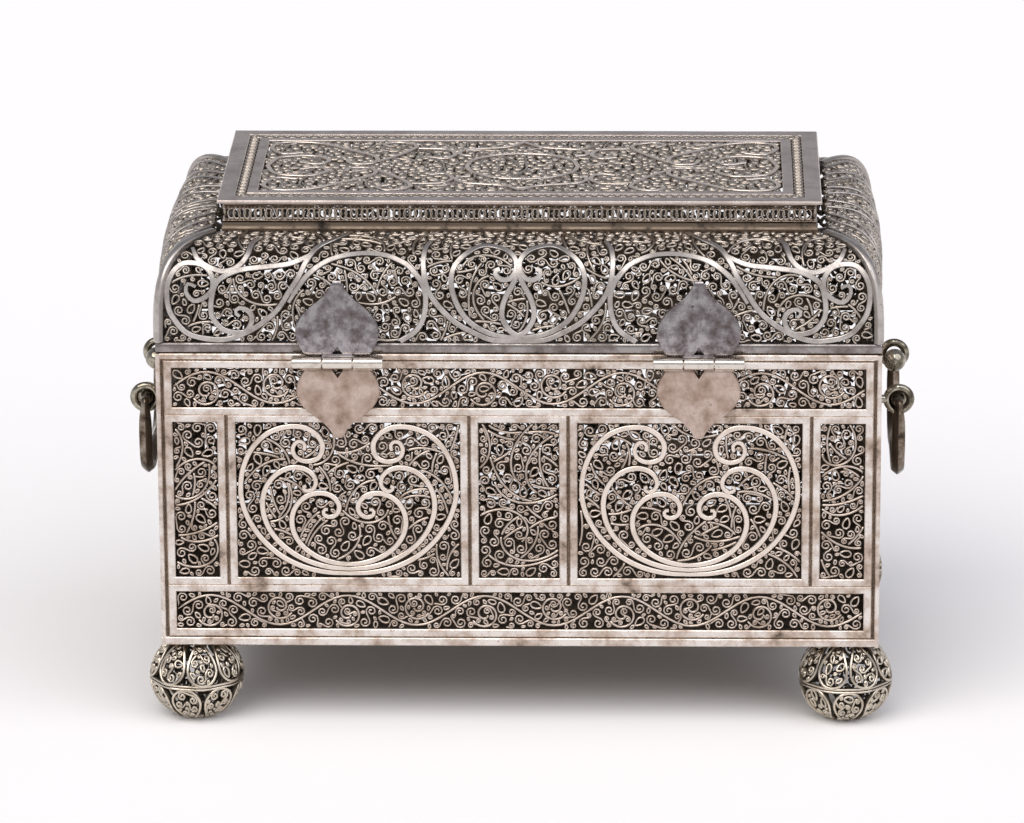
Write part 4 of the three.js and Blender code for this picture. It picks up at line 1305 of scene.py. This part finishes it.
# How much lower the outermost points of a leaf lie, and where the webs to the knuckles end
leaf_ease, web_end = 0.28, 9.2
leaf_outline = [(0, 0.76), (0.03, 0.8), (0.1, 0.88), (0.18, 0.95), (0.27, 0.99), (0.34, 1.0),
                (0.42, 0.975), (0.5, 0.91), (0.58, 0.8), (0.67, 0.63), (0.75, 0.43),
                (0.84, 0.27), (0.92, 0.165), (1.0, 0.09)]
leaf_curve = smooth_line(np.array(leaf_outline) * 100, 1.0) / 100


def leaf(middle, height, section):
    """A leaf whose section(run) gives the inner face's y and z and the way out."""
    across = np.array([-1, -0.97, -0.8, -0.6, -0.4, -0.2, -0.1, 0, 0.1, 0.2, 0.4, 0.6, 0.8,
                       0.97, 1])
    down = np.array([0, 0.02, *np.linspace(0.07, 0.93, 22), 0.975, 1])
    a, t = np.meshgrid(across, down)
    half = leaf_width / 2 * np.interp(t, leaf_curve[:, 0], leaf_curve[:, 1])
    start = notch * 0.75 * np.clip(1 - np.abs(a) / 0.17, 0, 1)
    run = start + (height - start) * t
    x = middle + a * half
    y, z, out_y, out_z = section(run)
    edge = (np.abs(a) > 0.99) | (t < 0.01) | (t > 0.99)
    lift = np.where(edge, leaf_thickness - leaf_ease, leaf_thickness)
    top = np.stack([x, y + out_y * lift, z + out_z * lift], -1)
    under = np.stack([x, y, z], -1)
    rows, columns = a.shape
    index = np.arange(rows * columns).reshape(rows, columns)
    quads = np.stack([index[:-1, :-1], index[:-1, 1:], index[1:, 1:], index[1:, :-1]], -1)
    quads = quads.reshape(-1, 4)
    rim_line = np.concatenate([index[0, :], index[1:, -1], index[-1, -2::-1],
                               index[-2:0:-1, 0]])
    next_line = np.roll(rim_line, -1)
    count = rows * columns
    wall_quads = np.stack([rim_line, rim_line + count, next_line + count, next_line], -1)
    points = np.concatenate([top.reshape(-1, 3), under.reshape(-1, 3)])
    faces = np.concatenate([quads, quads[:, ::-1] + count, wall_quads])
    return points, [outwards(points, faces)], np.ones(len(points))


def knuckle(x0, x1):
    """One knuckle of the barrel, its ends eased."""
    eased = barrel_radius - 0.12
    profile = [(0.65, x0), (eased, x0), (barrel_radius, x0 + 0.15), (barrel_radius, x1 - 0.15),
               (eased, x1), (0.65, x1)]
    return lathe(profile, (0, barrel_y, barrel_z), (1, 0, 0), (0, 1, 0), (0, 0, 1), 28)


def dome(centre, radius, high, out):
    """A rivet head."""
    side = unit(np.cross(out, (0.3, 0.2, 0.93)))
    profile = [(radius, -0.1), (0.95 * radius, 0.5 * high), (0.6 * radius, 0.9 * high),
               (0.1 * radius, high), (0.1 * radius, -0.1)]
    return lathe(profile, centre, out, side, np.cross(out, side), 12)


# %% How the leaves lie on wall and lid
def lower_section(run):
    """Upright on the wall, downwards from the barrel."""
    flat = 0 * run
    return flat - half_depth, barrel_z - barrel_radius - 0.3 - run, flat - 1, flat


def upper_section(run):
    """Upright over the rim, then bent back and flat to the point on the lid."""
    z = barrel_z + barrel_radius + run
    bend_z, bend_y = rim_top + 1.6, -half_depth - 1.1
    tip, _ = lid_side(-1)(0.0, upper_height - 3.5)
    line = unit([tip[1] - 0.55 - bend_y, tip[2] + 0.1 - bend_z])
    over = np.maximum(z - bend_z, 0)
    flat = z < bend_z
    lean = np.clip((z - rim_top + 3) / 4.6, 0, 1)
    y = np.where(flat, -half_depth - 0.3 + (bend_y + half_depth + 0.3) * lean,
                 bend_y + over * line[0])
    return (y, np.where(flat, z, bend_z + over * line[1]), np.where(flat, -1, -line[1]),
            np.where(flat, 0, line[0]))


# %% Build the hinges
knuckle_length = (barrel_length - 2 * knuckle_gap) / 3
inner_end, outer_end = knuckle_length / 2, barrel_length / 2
for hand, side_name in ((-1, "left"), (1, "right")):
    middle = hand * hinge_spread / 2
    low_node, high_node = f"hinge_lower_leaf_{side_name}", f"hinge_upper_leaf_{side_name}"
    lower = [leaf(middle, lower_height, lower_section)]
    tip_z = barrel_z - barrel_radius - 0.3 - 0.78 * lower_height
    rivets = [(middle, tip_z)] if hand < 0 else [
        (middle - 1.2, tip_z + 2.6), (middle + 0.2, tip_z + 1.0), (middle + 1.6, tip_z + 3.4),
        (middle - 0.4, tip_z - 1.2)]
    for x, z in rivets:
        size = 0.85 if hand < 0 else 0.3
        lower.append(dome((x, -half_depth - leaf_thickness, z), size, size * 0.45, (0, -1, 0)))
    wall_place = flat_side((middle, -half_depth, barrel_z), (1, 0, 0), (0, 0, 1), (0, -1, 0))
    for side in (-1, 1):
        a, b = sorted((side * (inner_end + knuckle_gap), side * web_end))
        lower.append(bar(a, b, -2.2, -0.4, 0.1, 1.5, wall_place))
    upper = [leaf(middle, upper_height, upper_section)]
    upper.append(bar(-inner_end, inner_end, 0.4, 2.2, 0.35, 1.5, wall_place))
    piece(f"lower_leaf_{side_name}", lower, lower_leaf_silver, "case", low_node)
    piece(f"lower_knuckles_{side_name}",
          [knuckle(middle - outer_end, middle - inner_end - knuckle_gap),
           knuckle(middle + inner_end + knuckle_gap, middle + outer_end)],
          barrel_silver, "case", low_node)
    piece(f"upper_leaf_{side_name}", upper, upper_leaf_silver, "lid", high_node)
    piece(f"upper_knuckle_{side_name}", [knuckle(middle - inner_end, middle + inner_end)],
          barrel_silver, "lid", high_node)
    finish_node(f"hinge_pin_{side_name}", barrel_silver)


# %% [markdown]
# ## Ring eyes and drop handles
# A bail is forged thin at its ends, turned inwards through two ring eyes and closed with a
# ball inside each. Its bar widens and comes to a point below. The smooth rings are swept,
# and the bail is a sweep whose section changes from round to a deep flat-sided bar.

# %% Build the eyes and bails
eye_radius, eye_wire, eye_spread = 3.1, 1.1, 41.0
eye_x = half_length + eye_radius + eye_wire + 1.4
eye_z = joint_z - 22.0
bail_wire, bail_ball, bail_drop = 1.1, 3.1, 20.5
bar_depth, bar_width = 4.2, 3.4
pivot_z = eye_z - (eye_radius - eye_wire - bail_wire - 0.45)
arm_y = eye_spread / 2 + eye_wire + 0.5 + bail_wire
ball_y = eye_spread / 2 - eye_wire - 0.5 - bail_ball


def ball(centre, radius, levels=12, sides=20):
    """A ball with very small flats at its poles."""
    tilt, angle = np.linspace(-1.52, 1.52, levels)[:, None], circle(sides)
    points = np.stack([np.cos(tilt) * np.cos(angle), np.sin(tilt) + 0 * angle,
                       np.cos(tilt) * np.sin(angle)], -1)
    cap = np.arange(sides)
    caps = np.stack([cap, cap[::-1] + (levels - 1) * sides])
    return ((points * radius + np.asarray(centre)).reshape(-1, 3),
            [tube_faces(levels, sides), caps], np.ones(levels * sides))


def eye(hand, y):
    """A ring and the turned stalk that holds it on the wall."""
    ring = [(eye_radius + eye_wire * math.cos(a), eye_wire * math.sin(a)) for a in circle(12)]
    stalk = [(0.1, half_length - 0.7), (1.9, half_length - 0.7), (1.9, half_length + 0.1),
             (1.2, half_length + 0.3), (1.1, eye_x - eye_radius), (0.1, eye_x - eye_radius)]
    return [lathe(ring, (hand * eye_x, y, eye_z), (0, 1, 0), (1, 0, 0), (0, 0, 1), 32),
            lathe(stalk, (0, y, eye_z), (hand, 0, 0), (0, 1, 0), (0, 0, 1), 16)]


def bail(hand):
    """The bar of a handle: half of it as (y, z, half width, half depth), then mirrored."""
    half = [(ball_y, 0, bail_wire, bail_wire), (arm_y - 1.2, 0, bail_wire, bail_wire),
            (arm_y, -1.1, bail_wire, bail_wire),
            (arm_y, -bail_drop * 0.3, bar_width / 2, bail_wire * 1.2),
            (arm_y - 1.26, -bail_drop * 0.8, bar_width / 2, bar_depth * 0.4),
            (arm_y * 0.6, -bail_drop, bar_width / 2, bar_depth / 2)]
    spots = [(-y, z, w, d) for y, z, w, d in half]
    spots += [(0, -bail_drop * 0.94, bar_width / 2, bar_depth / 2)] + half[::-1]
    y, z, wide, deep = catmull_rom(spots[0], spots, spots[-1], 6).T
    centre = np.stack([0 * y + hand * eye_x, y, pivot_z + z], -1)
    inward = np.cross(unit(np.gradient(centre, axis=0)), (1.0, 0, 0))
    section = np.array([(-0.2, -1), (0.2, -1), (0.95, -0.4), (1, 0.3), (0.85, 0.5),
                        (0.1, 1), (-0.1, 1), (-0.85, 0.5), (-1, 0.3), (-0.95, -0.4)])
    points, faces, _ = sweep(centre[None], inward[None], section, wide[None], deep[None])
    # Painted shade: the side towards the box gets a low lift, so its finish paints it dark in
    # tarnish colours; the side away from the box stays bright
    bright = np.where(section[:, 0] * hand < 0, 1.0, 0.1)
    return points, faces, np.tile(bright, len(y))


for hand, side_name in ((-1, "left"), (1, "right")):
    for sy, depth_name in ((-1, "back"), (1, "front")):
        node = f"ring_eye_{depth_name}_{side_name}"
        piece(f"ring_{depth_name}_{side_name}", eye(hand, sy * eye_spread / 2),
              cast_silver, "case", node)
    node = f"bail_{side_name}"
    piece(f"handle_bar_{side_name}", [bail(hand)], bail_silver, f"handle_{side_name}", node)
    piece(f"handle_balls_{side_name}",
          [ball((hand * eye_x, s * ball_y, pivot_z), bail_ball) for s in (-1, 1)],
          cast_silver, f"handle_{side_name}", node)

# %% [markdown]
# ## Floor and light
# The casket stands on a plain pale surface under soft light. Silver shows what is round
# it, so the light matters more than the paint: the room is bright near the floor and
# cooler and darker overhead, which turns the lid's upper surfaces blue-grey.

# %% Stage, world and lamps
scene = bpy.context.scene
scene.view_settings.view_transform = "Standard"
paper = bpy.data.materials.new("matt_white_paper")
paper.use_nodes = True
paper_shader = paper.node_tree.nodes["Principled BSDF"]
paper_shader.inputs["Base Color"].default_value = linear("#f7f6f6")
paper_shader.inputs["Roughness"].default_value = 0.9
fibre = add(paper.node_tree, "ShaderNodeBump", {"Strength": 0.05, "Distance": 0.0002},
            {"Height": pattern(paper.node_tree, 1.5)})
paper.node_tree.links.new(fibre.outputs["Normal"], paper_shader.inputs["Normal"])
floor_mesh = bpy.data.meshes.new("studio_floor")
floor_mesh.from_pydata([(-6, -4, 0), (6, -4, 0), (6, 8, 0), (-6, 8, 0)], [], [(0, 1, 2, 3)])
floor_mesh.materials.append(paper)
studio_floor = bpy.data.objects.new("studio_floor", floor_mesh)
scene.collection.objects.link(studio_floor)

world = bpy.data.worlds.new("studio")
scene.world = world
world.use_nodes = True
tree = world.node_tree
direction = add(tree, "ShaderNodeTexCoord").outputs["Generated"]
height = add(tree, "ShaderNodeSeparateXYZ", links={"Vector": direction}).outputs["Z"]
sky = ramp(tree, height, (0.0, "#ffffff"), (0.05, "#f2f1f0"), (0.28, "#a9aab0"),
           (0.8, "#8f9199"))
tree.links.new(sky, tree.nodes["Background"].inputs["Color"])
tree.nodes["Background"].inputs["Strength"].default_value = 1.0


def window_light(name, turned, height_angle, spread, strength, colour):
    """A very wide soft light from far off, as a big diffused window: it lights the whole
    floor evenly, which a lamp close by can't."""
    light = bpy.data.lights.new(name, "SUN")
    light.angle, light.energy, light.color = math.radians(spread), strength, linear(colour)[:3]
    lamp = bpy.data.objects.new(name, light)
    scene.collection.objects.link(lamp)
    lamp.rotation_euler = (math.radians(90 - height_angle), 0, math.radians(turned))


window_light("left_window", -35, 52, 50, 1.95, "#fffaf5")
window_light("right_window", 50, 45, 60, 1.3, "#fbfaff")
print("lights", 2, "floor", tuple(studio_floor.dimensions))

# %% [markdown]
# ## The count
# The last line prints how many triangles the made pieces have in all.

# %% Count the triangles
print("triangles in all", sum(count for _, count in made))
